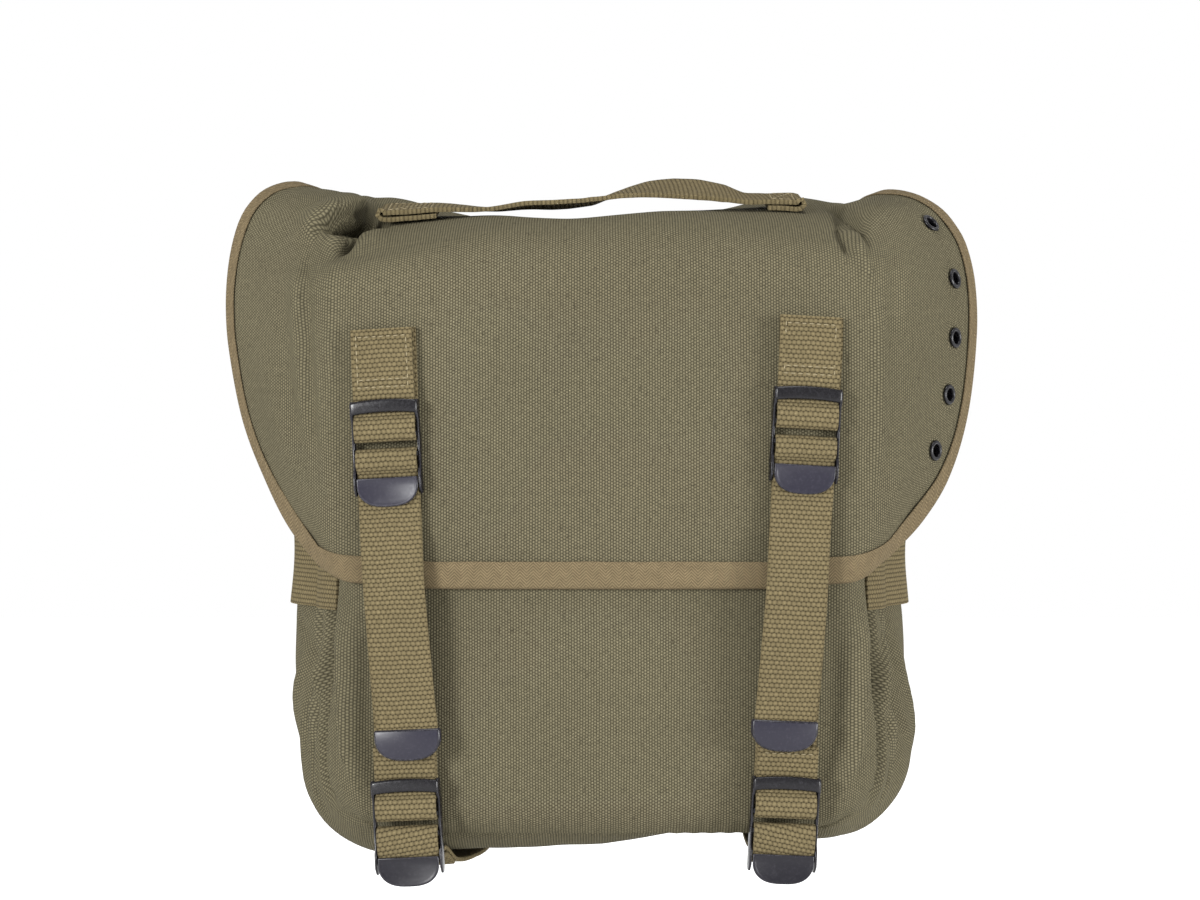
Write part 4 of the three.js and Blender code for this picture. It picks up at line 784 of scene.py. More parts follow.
# %% Folds of the flap: places as x and height above the bottom seam, then the push and both widths
FLAP_FOLDS = [
    ([(-99, 261), (-102, 258), (-107, 252), (-113, 248), (-118, 243), (-119, 235)], 5.0, 2.0, 10),
    ([(-118, 246), (-112, 243.5), (-105, 242), (-97, 243), (-87, 247)], -7.5, 6, 3.2),
    ([(-117, 240), (-106, 238), (-96, 240), (-85, 244)], 2.2, 2, 10),
    ([(-117, 242), (-118, 225), (-117, 195), (-115, 160), (-113, 130)], -1.8, 4, 4),
    ([(-122, 240), (-123, 215), (-121, 180), (-118, 150)], 1.5, 4, 5),
    ([(-106, 236), (-108, 210), (-107, 180)], 1.0, 5, 6),
    ([(-140, 200), (-132, 170), (-124, 140)], 1.4, 9, 9),
    ([(-134, 232), (-128, 205), (-122, 165), (-118, 130)], -1.0, 6, 6),
    ([(104, 252), (102, 244), (104, 232), (108, 215)], 2.2, 3, 7),
    ([(98, 250), (96, 241), (99, 228)], -3.0, 5, 3.4),
    ([(108, 222), (110, 195), (110, 160), (109, 130)], 1.4, 5, 5),
    ([(116, 240), (117, 215), (115, 190)], -1.2, 5, 5),
    ([(128, 190), (122, 160), (115, 125)], 1.2, 8, 8),
    ([(-60, 200), (-20, 206), (40, 204)], 0.7, 14, 10),
    ([(-96, 128), (-60, 118), (-10, 116)], 0.6, 8, 10),
    ([(96, 132), (60, 121), (20, 118)], 0.6, 10, 8),
]


# %% Where the flap's cloth sags, puckers and is pulled by its tucks
def flap_lumps(u, v, place):
    push = lumps(place, 55, 1.0, 6) + lumps(place, 20, 0.35, 7)
    if AT_LID < v:
        push += sum(fold_push(place.x, place.z, fold) for fold in FLAP_FOLDS) * smooth((v - AT_LID) / 0.1)
    return push * smooth((1 - abs(u)) / 0.1) * smooth((1 - v) / 0.06) * smooth(v / 0.05)


flap_shares = steps([-1, -0.8, -0.56, 0, 0.56, 0.8, 1], [24, 38, 34, 34, 38, 24])
flap_lengths = steps([0, AT_BACK_RIDGE, AT_LID, AT_ROLL, AT_FRONT, 1], [6, 8, 16, 74, 60])
EYELET_INSET = 15.8
EYELET_HEIGHTS = (0.986, 0.895, 0.798, 0.704, 0.611)


def eyelet_shares():
    def inset(v):
        u = 1.0
        while (flap_surface(u, v) - flap_surface(1, v)).length < EYELET_INSET:
            u -= 0.001
        return u

    for up in EYELET_HEIGHTS:
        v = AT_ROLL
        while flap_surface(inset(v), v).z > FLAP_TOP * up:
            v += 0.002
        yield inset(v), v


eyelets = []
for u, v in eyelet_shares():
    normal = flap_normal(u, v)
    place = flap_surface(u, v)
    eyelets.append((place + normal * flap_lumps(u, v, place), normal))
sheet(
    "flap_cloth", flap_surface, flap_shares, flap_lengths, CANVAS_STUFF, ["flap"], (0, 0, 1),
    flap_lumps, [place for place, _ in eyelets],
)

# %% [markdown]
# ## Edge binding
# A herringbone tape is folded over the flap's raw edge and sewn through. To lay it, each section finds its
# own place on the flap: a tape's width in from the edge on the outer face, round the edge, and back on the
# inner face.

# %% Find the place on the flap that lies a given distance in from its edge
def flap_inward(u, v, inward, distance):
    step = 1e-3
    target = flap_surface(u, v) + inward * distance
    a, b = u, v
    for _ in range(4):
        here = flap_surface(a, b)
        du = (flap_surface(a + step, b) - flap_surface(a - step, b)) / (2 * step)
        dv = (flap_surface(a, b + step) - flap_surface(a, b - step)) / (2 * step)
        miss = target - here
        uu, uv, vv = du.dot(du), du.dot(dv), dv.dot(dv)
        det = uu * vv - uv * uv
        a = clamp(a + (miss.dot(du) * vv - miss.dot(dv) * uv) / det, -0.999, 0.999)
        b = clamp(b + (miss.dot(dv) * uu - miss.dot(du) * uv) / det, 0.001, 0.999)
    return a, b


# %% Walk round the flap's edge in even steps
BINDING_START = 0.07


def edge_walk(step_mm):
    side = steps([BINDING_START, 1], [260])
    hem = steps([-1, 1], [300])[1:-1]
    path = [(-1, v) for v in side] + [(u, 1) for u in hem] + [(1, v) for v in reversed(side)]
    kept, places = [path[0]], [flap_surface(*path[0])]
    for stop in path[1:]:
        place = flap_surface(*stop)
        if (place - places[-1]).length >= step_mm:
            kept.append(stop)
            places.append(place)
    return kept, places


edge_stops, edge_places = edge_walk(2.6)


def edge_frame(i):
    u, v = edge_stops[i]
    before, after = edge_places[max(i - 1, 0)], edge_places[min(i + 1, len(edge_places) - 1)]
    along = (after - before).normalized()
    normal = flap_normal(u, v)
    inward = normal.cross(along).normalized()
    if inward.dot(flap_surface(u * 0.9, lerp(v, 0.5, 0.1)) - edge_places[i]) < 0:
        inward.negate()
    return along, normal, inward


# %% The tape's section: distance in from the edge and side of the cloth
TAPE_OFF = CANVAS / 2 + TAPE_GAP + TAPE / 2
WING_TAPE = 0.55  # the tape on the wings is turned further to the back, so this share of it shows in front
WING_TAPE_END = 0.72  # from here to the hem it widens again
TAPE_SECTION = [(TAPE_WIDTH, 1), (7, 1), (4.5, 1), (2, 1), (0.3, 1), (-0.6, 0.75), (-1.1, 0)]
TAPE_SECTION += [(distance, -side) for distance, side in reversed(TAPE_SECTION[:-1])]
binding_rows = []
for i in range(len(edge_stops)):
    u, v = edge_stops[i]
    along, normal, inward = edge_frame(i)
    ripple = 0.35 * noise.noise(Vector((i * 0.21, 3.3, 0)))
    found = {}
    row = []
    shown = lerp(WING_TAPE, 1, smooth((v - WING_TAPE_END) / (1 - WING_TAPE_END))) if abs(u) == 1 else 1
    for distance, side in TAPE_SECTION:
        distance = distance * shown if distance > 2 else distance
        if distance <= 0:
            row.append(edge_places[i] + inward * distance + normal * (side * TAPE_OFF))
            continue
        if distance not in found:
            a, b = flap_inward(u, v, inward, distance + ripple * distance / TAPE_WIDTH)
            found[distance] = (flap_surface(a, b), flap_normal(a, b), flap_lumps(a, b, flap_surface(a, b)))
        place, face, push = found[distance]
        row.append(place + face * (side * TAPE_OFF + push))
    binding_rows.append(row)


# %% A sheet laid through rows of places
def laid_sheet(name, rows, stuff, replaced, outward, **more):
    def surface(i, j):
        return rows[i][j]

    sheet(name, surface, range(len(rows)), range(len(rows[0])), stuff, replaced, outward, **more)


laid_sheet(
    "flap_binding_tape", binding_rows, (TAPE, herringbone_tape, "binding_tape"), ["flap_binding"], (0, -1, 0)
)

# %% [markdown]
# ## Stitches
# A stitch is a short piece of thread that dives into the cloth at both ends, so one stretched, flattened
# ball of twenty faces is enough for each. A seam is a row of them at an even pitch.

# %% Rows of stitches
STITCH_PITCH, THREAD = 2.6, 0.55  # millimetres
STITCH_HALF_LENGTH, STITCH_HEIGHT = STITCH_PITCH * 0.42, THREAD * 0.4
seams = []


def seam(places, normals, pitch=STITCH_PITCH, inset=0.0):
    walked = 0.0
    following = pitch / 2
    for a, b, n in zip(places, places[1:], normals):
        length = (b - a).length
        if length < 1e-6:
            continue
        direction = (b - a) / length
        while following <= walked + length:
            spot = a + direction * (following - walked)
            seams.append((spot + n * inset, direction, n))
            following += pitch
        walked += length


def sew(name, slot_name="binding_tape"):
    bm = bmesh.new()
    for spot, direction, n in seams:
        side = n.cross(direction).normalized()
        up = direction.cross(side).normalized()
        turn = Matrix((direction, side, up)).transposed().to_4x4()
        size = Matrix.Diagonal((STITCH_HALF_LENGTH * MM, THREAD / 2 * MM, STITCH_HEIGHT * MM, 1))
        place = Matrix.Translation(metres(spot)) @ turn @ size
        bmesh.ops.create_icosphere(bm, subdivisions=1, radius=1, matrix=place)
    print(name, len(seams), "stitches")
    seams.clear()
    return finish_piece(name, bm, sewing_thread, slot_name, [])


BINDING_SEAM_IN, INNER_STOP = 7.6, TAPE_SECTION[1][0]
BINDING_SEAM_SHARE = (BINDING_SEAM_IN - INNER_STOP) / (TAPE_WIDTH - INNER_STOP)
seam_places, seam_normals = [], []
for i in range(len(edge_stops)):
    outer, inner = binding_rows[i][1], binding_rows[i][0]
    seam_places.append(outer.lerp(inner, BINDING_SEAM_SHARE))
    seam_normals.append(flap_normal(*edge_stops[i]))
seam(seam_places, seam_normals, inset=TAPE / 2)
sew("binding_stitches")

# %% [markdown]
# ## Webbing
# Each strap is a ribbon along a path. The path has a few chosen points, a smooth curve is drawn through
# them, and the ribbon's map runs along it, so the knuckles keep their size round every bend. Round a
# buckle's bar the webbing turns back on itself in about two millimetres.

# %% A smooth run of stations through chosen points
RIBBON_STEP, RIBBON_COLUMNS = 1.3, 8  # millimetres between stations, and strips across the webbing
FUZZ = 0.12  # how uneven its faces are


def smooth_run(points):
    run = []
    last = len(points) - 1
    for i in range(last):
        (p0, _), (p1, a1), (p2, a2), (p3, _) = (points[clamp(k, 0, last)] for k in (i - 1, i, i + 1, i + 2))
        chord = (p2 - p1).length
        lead_1, lead_2 = (p2 - p0).normalized() * chord, (p3 - p1).normalized() * chord
        count = max(2, math.ceil(chord / RIBBON_STEP))
        for k in range(count):
            t = k / count
            run.append((curve(p1, p2, lead_1, lead_2, t), a1.lerp(a2, t).normalized()))
    run.append(points[-1])
    return run


# %% A ribbon of webbing with rounded edges
def ribbon(name, points, replaced):
    run = smooth_run(points)
    rows = []
    for i, (place, across) in enumerate(run):
        along = (run[min(i + 1, len(run) - 1)][0] - run[max(i - 1, 0)][0]).normalized()
        out = across.cross(along).normalized()
        side = along.cross(out).normalized()
        row = []
        for k in range(RIBBON_COLUMNS + 1):
            share = 2 * k / RIBBON_COLUMNS - 1
            fuzz = FUZZ * noise.noise(Vector((i * 0.23, k * 0.6, len(points))))
            row.append(place + side * (share * WEBBING_WIDTH / 2) + out * fuzz)
        rows.append(row)
    middle = len(rows) // 2
    across, along = rows[middle][-1] - rows[middle][0], rows[middle + 1][0] - rows[middle][0]
    stuff = (WEBBING - 0.1, cotton_webbing, "webbing")
    laid_sheet(name, list(zip(*rows)), stuff, replaced, across.cross(along), rim=0.6)


# %% Side webbing: a broad strip across each side of the strip of canvas
SIDE_WEB_LOW, SIDE_WEB_WIDTH = 88, 38
BRIDGE, BRIDGE_AT, BRIDGE_WIDTH = GUSSET_BULGE * 0.09, 0.29, 0.13  # it spans the fold behind the front seam
TUCK_SHARE, TUCK_DEPTH = 0.35, 0.12  # its front end is tucked in towards the seam
side_web_depths = steps([0.012, 0.5, 0.93], [28, 22])
for side_name, sign in (("left", -1), ("right", 1)):
    lift = CANVAS / 2 + GAP + FACET_GAP + WEBBING / 2

    def side_web_surface(depth_share, up):
        height = SIDE_WEB_LOW + SIDE_WEB_WIDTH * up
        share_at = (BODY_HEIGHT - height) / OUTLINE_HALF / 2
        share = share_at if sign < 0 else 1 - share_at
        step = 1e-3
        along = gusset_surface(share + step, depth_share) - gusset_surface(share - step, depth_share)
        deep = gusset_surface(share, depth_share + step) - gusset_surface(share, depth_share - step)
        normal = along.cross(deep).normalized()
        if normal.x * sign < 0:
            normal.negate()
        bridge = BRIDGE * hill((depth_share - BRIDGE_AT) / BRIDGE_WIDTH)
        tucked = lerp(TUCK_SHARE, 1, smooth(depth_share / TUCK_DEPTH))
        return gusset_surface(share, depth_share) + normal * (lift * tucked + bridge)

    sheet(
        f"side_webbing_{side_name}_cloth", side_web_surface, side_web_depths, steps([0, 1], [16]),
        (WEBBING, cotton_webbing, "webbing"), [f"side_webbing_{side_name}"], (sign, 0, 0),
        lambda u, v, place: lumps(place, 24, 0.5, 8),
    )

# %% [markdown]
# ## Buckles
# Each buckle is a ladder-lock pressed from sheet steel: two rails, an arched top bar, two crossbars that the
# webbing turns round, and a half-round thumb plate that stands a little off the strap. The bars come from a
# cube, the plate from a half outline that is extruded, and every edge is bevelled, because on black enamel it
# is the thin bright line along an edge that shows the shape.

# %% Sizes of the buckle, in its own frame: x across, -y forwards, z up from the slot
RAIL, BUCKLE_CLEARANCE = 1.3, 0.35
CROSSBAR_SPACING, CROSSBAR_HEIGHT, CROSSBAR_THICKNESS = 7.8, 1.6, 1.4
TOP_BAR_HEIGHT, TOP_BAR_RISE = 5.2, 12.4
PLATE_DROP, PLATE_HEIGHT, PLATE_THICKNESS, RAIL_TAIL = 12.8, 11.6, 1.2, 7
TIP_HEIGHT, TIP_METAL, TIP_GRIP = 12.4, 0.6, 8.5
LAYER = WEBBING + GAP
FIRST_PLY = GAP + FACET_GAP + WEBBING / 2
WRAP_RADIUS = math.hypot(CROSSBAR_THICKNESS, CROSSBAR_HEIGHT) / 2 + GAP + WEBBING / 2
CROSSBAR_OFF = FIRST_PLY + WRAP_RADIUS
SECOND_PLY = FIRST_PLY + LAYER
TOP_BAR_OFF = SECOND_PLY + WEBBING / 2 + GAP
PLATE_OFF = TOP_BAR_OFF + 0.4
BUCKLE_HALF_WIDTH = WEBBING_WIDTH / 2 + BUCKLE_CLEARANCE + RAIL


# %% Bevel the sharp edges of one part, and mark the narrow new faces as worn
def bevel_edges(part, width, segments=2, least_angle=30):
    bmesh.ops.recalc_face_normals(part, faces=part.faces)
    sharp = [e for e in part.edges if e.is_manifold and e.calc_face_angle(0) > math.radians(least_angle)]
    made = bmesh.ops.bevel(
        part, geom=sharp, offset=width, offset_type="OFFSET", segments=segments, profile=0.5,
        affect="EDGES", material=-1, clamp_overlap=True,
    )
    if segments == 2:
        for face in made["faces"]:
            face.material_index = 1


# %% Put a finished part into the whole piece
def join_part(bm, part, body=0):
    for face in part.faces:
        if face.material_index == 0:
            face.material_index = body
    carrier = bpy.data.meshes.new("carrier")
    part.to_mesh(carrier)
    part.free()
    bm.from_mesh(carrier)
    bpy.data.meshes.remove(carrier)


# %% A bar from a cube, which may be arched upwards and forwards
def bar(bm, width, thickness, height, off, up, bow=0.0, bevel=0.3, slices=1, segments=2):
    part = bmesh.new()
    bmesh.ops.create_cube(part, size=1)
    if slices > 1:
        lengthwise = [e for e in part.edges if abs(e.verts[0].co.x - e.verts[1].co.x) > 0.5]
        bmesh.ops.subdivide_edges(part, edges=lengthwise, cuts=slices - 1, use_grid_fill=True)
    for v in part.verts:
        bend = bow * (1 - (2 * v.co.x) ** 2)
        v.co = Vector((v.co.x * width, v.co.y * thickness - off - bend * 0.5, v.co.z * height + up + bend))
    bevel_edges(part, bevel, segments)
    join_part(bm, part)


# %% A flat outline pushed out to a plate, whose face may be dished inside a raised rim
RIM = 1.3


def plate(bm, outline, thickness, direction, bevel=0.35, dish=0.0, body=0):
    part = bmesh.new()
    face = part.faces.new([part.verts.new(p) for p in outline])
    pushed = bmesh.ops.extrude_face_region(part, geom=[face])["geom"]
    front = [g for g in pushed if isinstance(g, bmesh.types.BMVert)]
    bmesh.ops.translate(part, vec=Vector(direction) * thickness, verts=front)
    bevel_edges(part, bevel, least_angle=40)
    if dish:
        faces = [f for f in part.faces if len(f.verts) > 8 and f.normal.dot(Vector(direction)) > 0.9]
        for step in (0.55, 0.45):
            bmesh.ops.inset_region(part, faces=faces, thickness=RIM * step, depth=0)
            bmesh.ops.translate(part, vec=Vector(direction) * -dish * step, verts=list(faces[0].verts))
    join_part(bm, part, body)


# %% The outline of a thumb plate or a strap tip, hanging down from z 0
def half_round(width, height, shoulder_share=0.3, count=14):
    shoulder = height * shoulder_share
    half = [(width / 2, 0), (width / 2, -shoulder)]
    for k in range(1, count + 1):
        angle = k / count * math.pi / 2
        half.append((width / 2 * math.cos(angle) ** 0.72, -shoulder - (height - shoulder) * math.sin(angle)))
    outline = half + [(-x, z) for x, z in reversed(half[:-1])]
    return [Vector((x, 0, z)) for x, z in outline]


# %% One buckle
THIN_RAIL = 0.95


def rail_outline():
    top, foot, narrow = TOP_BAR_RISE + TOP_BAR_HEIGHT, -PLATE_DROP - RAIL_TAIL, 2 * RAIL
    back, front = GAP + FACET_GAP, TOP_BAR_OFF + RAIL
    plate_front = PLATE_OFF + PLATE_THICKNESS - 0.5
    low_front = CROSSBAR_OFF + 0.8  # the webbing's turns stand out past the rails
    corners = [
        (back + RAIL, top), (front - RAIL, top), (front, top - RAIL), (front, TOP_BAR_RISE),
        (low_front, TOP_BAR_RISE - narrow), (low_front, -PLATE_DROP + 3 * RAIL),
        (plate_front, -PLATE_DROP + RAIL), (plate_front, foot + narrow), (front - narrow, foot),
        (back + RAIL, foot), (back, foot + RAIL), (back, top - RAIL),
    ]
    return [Vector((0, -forward, up)) for forward, up in corners]


STEEL = "black_enamelled_steel"  # the slot of every steel piece


def buckle(name, place, replaced, plate_painted_light):
    bm = bmesh.new()
    width = 2 * BUCKLE_HALF_WIDTH - RAIL
    inner = BUCKLE_HALF_WIDTH - RAIL
    for start in (-inner - THIN_RAIL, inner):
        plate(bm, [p + Vector((start, 0, 0)) for p in rail_outline()], THIN_RAIL, (1, 0, 0), bevel=0.25)
    for up in (CROSSBAR_SPACING / 2, -CROSSBAR_SPACING / 2):
        bar(bm, width, CROSSBAR_THICKNESS, CROSSBAR_HEIGHT, CROSSBAR_OFF, up, bevel=0.35)
    bar(
        bm, 2 * (inner + THIN_RAIL), RAIL + 0.9, TOP_BAR_HEIGHT, TOP_BAR_OFF + RAIL / 2,
        TOP_BAR_RISE + TOP_BAR_HEIGHT / 2 - 0.3, bow=0.9, bevel=1.0, slices=12, segments=4,
    )
    outline = [p + Vector((0, -PLATE_OFF, -PLATE_DROP)) for p in half_round(WEBBING_WIDTH, PLATE_HEIGHT)]
    # the thumb plate takes the third material: a copy of the enamel, lighter to paint sheen on the upper buckles,
    # darker to paint shade on the lower ones
    plate(bm, outline, PLATE_THICKNESS, (0, -1, 0), 0.4, 0.45, 2)
    settle(bm, place)
    finish_piece(name, bm, black_enamel, STEEL, replaced, [worn_edge, plate_painted_light])


# %% [markdown]
# ## Closures
# Each side has the same chain of pieces in a frame of its own, which leans a little, as the straps do on
# the stuffed front. The sewn tab holds the upper buckle, the strap rises to it from under the lower tab,
# goes round its lower crossbar and hangs down again to a steel tip, and the lower buckle hangs from the
# lower tab.

# %% Where the straps lie
CLOSURES = table(
    "side sign foot tab_top slot tip_top low_slot drift",
    ("left", -1, 75.4, 201, 155, 42.8, 5, 20),
    ("right", 1, 70.4, 206, 160, 46.4, 6, 0),
)
LOWER_TAB_TOP, ANCHOR_END, STRAP_REACH, STRAP_RISE = 36, 16, 0.78, 60
STRAP_SHARES = (0.24, 0.33, 0.42, 0.5, 0.57, 0.64, 0.72, 0.82, 0.9)  # where a strap is laid, as shares of its rise
TAIL_EASE, TAIL_OFF = 0.4, 0.6  # extra room for the loose tail over the tab, and above it
SEAM_IN, TAB_BOX = 3, 23  # from a tab's upper edge to its first row of stitches and to the foot of its box
STRAP_SLANT, STRAP_YAW, TAIL_SLEW = math.radians(3.1), math.radians(6), 2.6


def outer_face_y(x, height):
    over_hem = smooth((height - HEM_HEIGHT + STRAP_RISE) / STRAP_RISE)
    panel = front_y(x, height) - CANVAS / 2
    flap = flap_front_y(x, max(height, HEM_HEIGHT)) - CANVAS / 2
    on_binding = (GAP + TAPE + FACET_GAP) * smooth((HEM_HEIGHT + 2 * TAPE_WIDTH - height) / TAPE_WIDTH)
    return lerp(panel, flap - on_binding, over_hem)


SLOT_SPREAD = 0.7  # each turn of webbing is pulled this far away from the slot
# The lower strap's places behind and before its bar, and where it lies under the bag
INTO_BUCKLE = [(5.5, 8.6), (1.6, 6.6), (0, 3)]
OUT_OF_BUCKLE = [(0, 3.4), (0.8, 7), (3.4, 10), (8, 12.4)]
UNDER_SHARES, LOOSE_SHARES = (0, 0.22, 0.44, 0.64, 0.8), (0.8, 0.66)
LEAD, TURN_STEPS = 3.4, 7  # straight webbing beside a turn, and the steps of a turn


def bar_turn(base, height, side):
    height += side * SLOT_SPREAD
    y = base - CROSSBAR_OFF
    end = -180 if side > 0 else 180
    angles = [math.radians(end * k / TURN_STEPS) for k in range(TURN_STEPS + 1)]
    points = [(y + WRAP_RADIUS * math.cos(a), height + WRAP_RADIUS * math.sin(a)) for a in angles]
    return points + [(y - WRAP_RADIUS, height + side * LEAD)]


def underside_z(x, y):
    depth_share = clamp((y - FRONT_SEAM) / (BACK_SEAM - FRONT_SEAM))
    shares = [0.5 + (x + s * WEBBING_WIDTH) / OUTLINE_HALF / 2 for s in (-0.5, 0, 0.5)]
    return min(gusset_surface(share, depth_share).z for share in shares) - CANVAS / 2


# %% Stitches on the face of a strap, through a row of corners
STRAP_PITCH = 2.9


def strap_seam(frame_matrix, corners, depth_at):
    places = [frame_matrix @ Vector((x, depth_at(z), z)) for x, z in corners]
    normal = (frame_matrix.to_3x3() @ Vector((0, -1, 0))).normalized()
    seam(places, [normal] * len(places), STRAP_PITCH, inset=0.3)


# %% Build both closures
for row in CLOSURES:
    side, sign = row["side"], row["sign"]
    strap_frame = (
        Matrix.Translation((sign * row["foot"], -BODY_DEPTH, 0))
        @ Matrix.Rotation(sign * STRAP_YAW, 4, "Z")
        @ Matrix.Rotation(sign * STRAP_SLANT, 4, "Y")
    )
    across_strap = (strap_frame.to_3x3() @ Vector((1, 0, 0))).normalized()

    def ground(height):
        over = strap_frame @ Vector((0, 0, height))
        return (outer_face_y(over.x, over.z) - over.y) * math.cos(STRAP_YAW)

    def held(path, shift=None):
        shifts = shift or [0] * len(path)
        return [(strap_frame @ Vector((dx, y, z)), across_strap) for dx, (y, z) in zip(shifts, path)]

    slot, tab_top, tip_top, low_slot = (row[name] for name in ("slot", "tab_top", "tip_top", "low_slot"))
    base = ground(slot)
    # its thumb plate takes the lighter copy of the enamel, a painted sheen
    buckle(
        f"closure_buckle_{side}_steel", strap_frame @ Matrix.Translation((0, base, slot)),
        [f"closure_buckle_{side}"], painted_sheen_enamel,
    )

    def off(height, distance):
        return (ground(height) - distance, height)

    def level(height, distance):
        return (min(base, ground(height)) - distance, height)

    bar_top = slot + TOP_BAR_RISE + TOP_BAR_HEIGHT
    tab_middle = lerp(tab_top, bar_top, 0.4)
    tab_path = [
        off(tab_top, SECOND_PLY), off(tab_middle, SECOND_PLY), level(bar_top, SECOND_PLY),
        level(slot + TOP_BAR_RISE, SECOND_PLY), *reversed(bar_turn(base, slot + CROSSBAR_SPACING / 2, 1)),
        level(slot + TOP_BAR_RISE, FIRST_PLY), level(bar_top, FIRST_PLY), off(tab_middle, FIRST_PLY),
        off(tab_top, FIRST_PLY),
    ]
    inner_ply = [0.0] * (len(tab_path) - 4) + [0.5, 0.9, 1.2, 1.2]
    ribbon(f"flap_tab_{side}_webbing", held(tab_path, inner_ply), [f"flap_tab_{side}"])
    half = WEBBING_WIDTH / 2 - 2.2
    face_off = SECOND_PLY + WEBBING / 2
    top_row, low_row = tab_top - SEAM_IN, tab_top - TAB_BOX
    box = [(-half, top_row), (half, top_row), (half, low_row), (-half, low_row), (-half, top_row)]
    for corners in (box, [(-half, low_row + SEAM_IN), (half, low_row + SEAM_IN)]):
        strap_seam(strap_frame, corners, lambda z: ground(z) - face_off)

    plate_top = slot - PLATE_DROP
    plate_foot = plate_top - PLATE_HEIGHT
    heights = [share * slot for share in STRAP_SHARES]
    on_tab = 2 * LAYER + TAIL_EASE

    def tail_off(height):
        return SECOND_PLY + TAIL_OFF + on_tab * smooth((plate_foot - height) / (plate_foot - tip_top))

    tail = [height for height in reversed(heights) if tip_top + 6 < height < plate_foot - 4]
    strap_path = [
        off(ANCHOR_END, FIRST_PLY), *[off(height, FIRST_PLY) for height in heights],
        *bar_turn(base, slot - CROSSBAR_SPACING / 2, -1), level(plate_top + 2, SECOND_PLY),
        level(plate_foot, SECOND_PLY), *[off(height, tail_off(height)) for height in tail],
        off(tip_top, tail_off(tip_top)), off(tip_top - TIP_GRIP, tail_off(tip_top)),
    ]
    count, hangs = len(strap_path), len(strap_path) - len(tail) - 3
    slews = [-sign * TAIL_SLEW * clamp((i - hangs) / (count - 2 - hangs)) for i in range(count)]
    ribbon(f"closure_strap_{side}_webbing", held(strap_path, slews), [f"closure_strap_{side}"])

    tip_depth = WEBBING + 2 * GAP + 2 * TIP_METAL
    tip_y, end_y = ground(tip_top) - tail_off(tip_top), ground(tip_top - TIP_GRIP) - tail_off(tip_top)
    tip_place = (
        strap_frame
        @ Matrix.Translation((-sign * TAIL_SLEW, tip_y, tip_top))
        @ Matrix.Rotation(math.atan2(end_y - tip_y, TIP_GRIP), 4, "X")
    )
    bm = bmesh.new()
    tip_outline = half_round(WEBBING_WIDTH + 2 * (GAP + TIP_METAL), TIP_HEIGHT)
    plate(bm, [p + Vector((0, tip_depth / 2, 0)) for p in tip_outline], tip_depth, (0, -1, 0), bevel=0.8)
    settle(bm, tip_place)
    # the tip takes the lighter copy of the enamel, a painted sheen
    finish_piece(f"strap_tip_{side}_steel", bm, painted_sheen_enamel, STEEL, [f"strap_tip_{side}"], [worn_edge])

    low_base = ground(LOWER_TAB_TOP) - LAYER
    # its thumb plate takes the darker copy of the enamel, painted shade
    buckle(
        f"lower_buckle_{side}_steel", strap_frame @ Matrix.Translation((0, low_base, low_slot)),
        [f"lower_buckle_{side}"], shaded_enamel,
    )
    low_rise = low_slot + TOP_BAR_RISE
    lower_tab_path = [
        (low_base - SECOND_PLY, LOWER_TAB_TOP), (low_base - SECOND_PLY, low_rise),
        *reversed(bar_turn(low_base, low_slot + CROSSBAR_SPACING / 2, 1)),
        (low_base - FIRST_PLY, low_rise), (low_base - FIRST_PLY, LOWER_TAB_TOP),
    ]
    ribbon(f"lower_tab_{side}_webbing", held(lower_tab_path), [f"lower_tab_{side}"])
    low_row = LOWER_TAB_TOP - SEAM_IN
    strap_seam(strap_frame, [(-half, low_row), (half, low_row)], lambda z: low_base - face_off)
    sew(f"strap_stitches_{side}", "webbing")

    bar_height = low_slot - CROSSBAR_SPACING / 2
    bar_y = low_base - CROSSBAR_OFF
    back, front = bar_y + WRAP_RADIUS, bar_y - WRAP_RADIUS
    sewn_at = lerp(-BODY_DEPTH, 0, STRAP_REACH)

    def under(share, layer):
        y = lerp(sewn_at, -BODY_DEPTH, share)
        x = sign * (row["foot"] + 2 - row["drift"] * smooth((y + BODY_DEPTH) / (sewn_at + BODY_DEPTH)))
        drop = FIRST_PLY + 3 * FACET_GAP + layer * (LAYER + FACET_GAP)
        return Vector((x, y, underside_z(x, y) - drop)), Vector((1, 0, 0))

    angles = [math.pi * k / TURN_STEPS for k in range(TURN_STEPS + 1)]
    turned = [(bar_y + WRAP_RADIUS * math.cos(a), bar_height + WRAP_RADIUS * math.sin(a)) for a in angles]
    lower_path = [under(share, 0) for share in UNDER_SHARES]
    into = [(back + away, bar_height - down) for away, down in INTO_BUCKLE]
    out_of = [(front + away, bar_height - down) for away, down in OUT_OF_BUCKLE]
    lower_path += held(into + turned + out_of)
    lower_path += [under(share, 1) for share in LOOSE_SHARES]
    ribbon(f"lower_strap_{side}_webbing", lower_path, [f"lower_strap_{side}"])

# %% [markdown]
# ## Handle and belt loops
# The handle is one length of webbing along the lid. Both ends are doubled and sewn down, and between them
# it stands up just enough for a finger, twisting a little so that its face shows on the right. The belt
# loops are hidden behind the bag and kept plain.

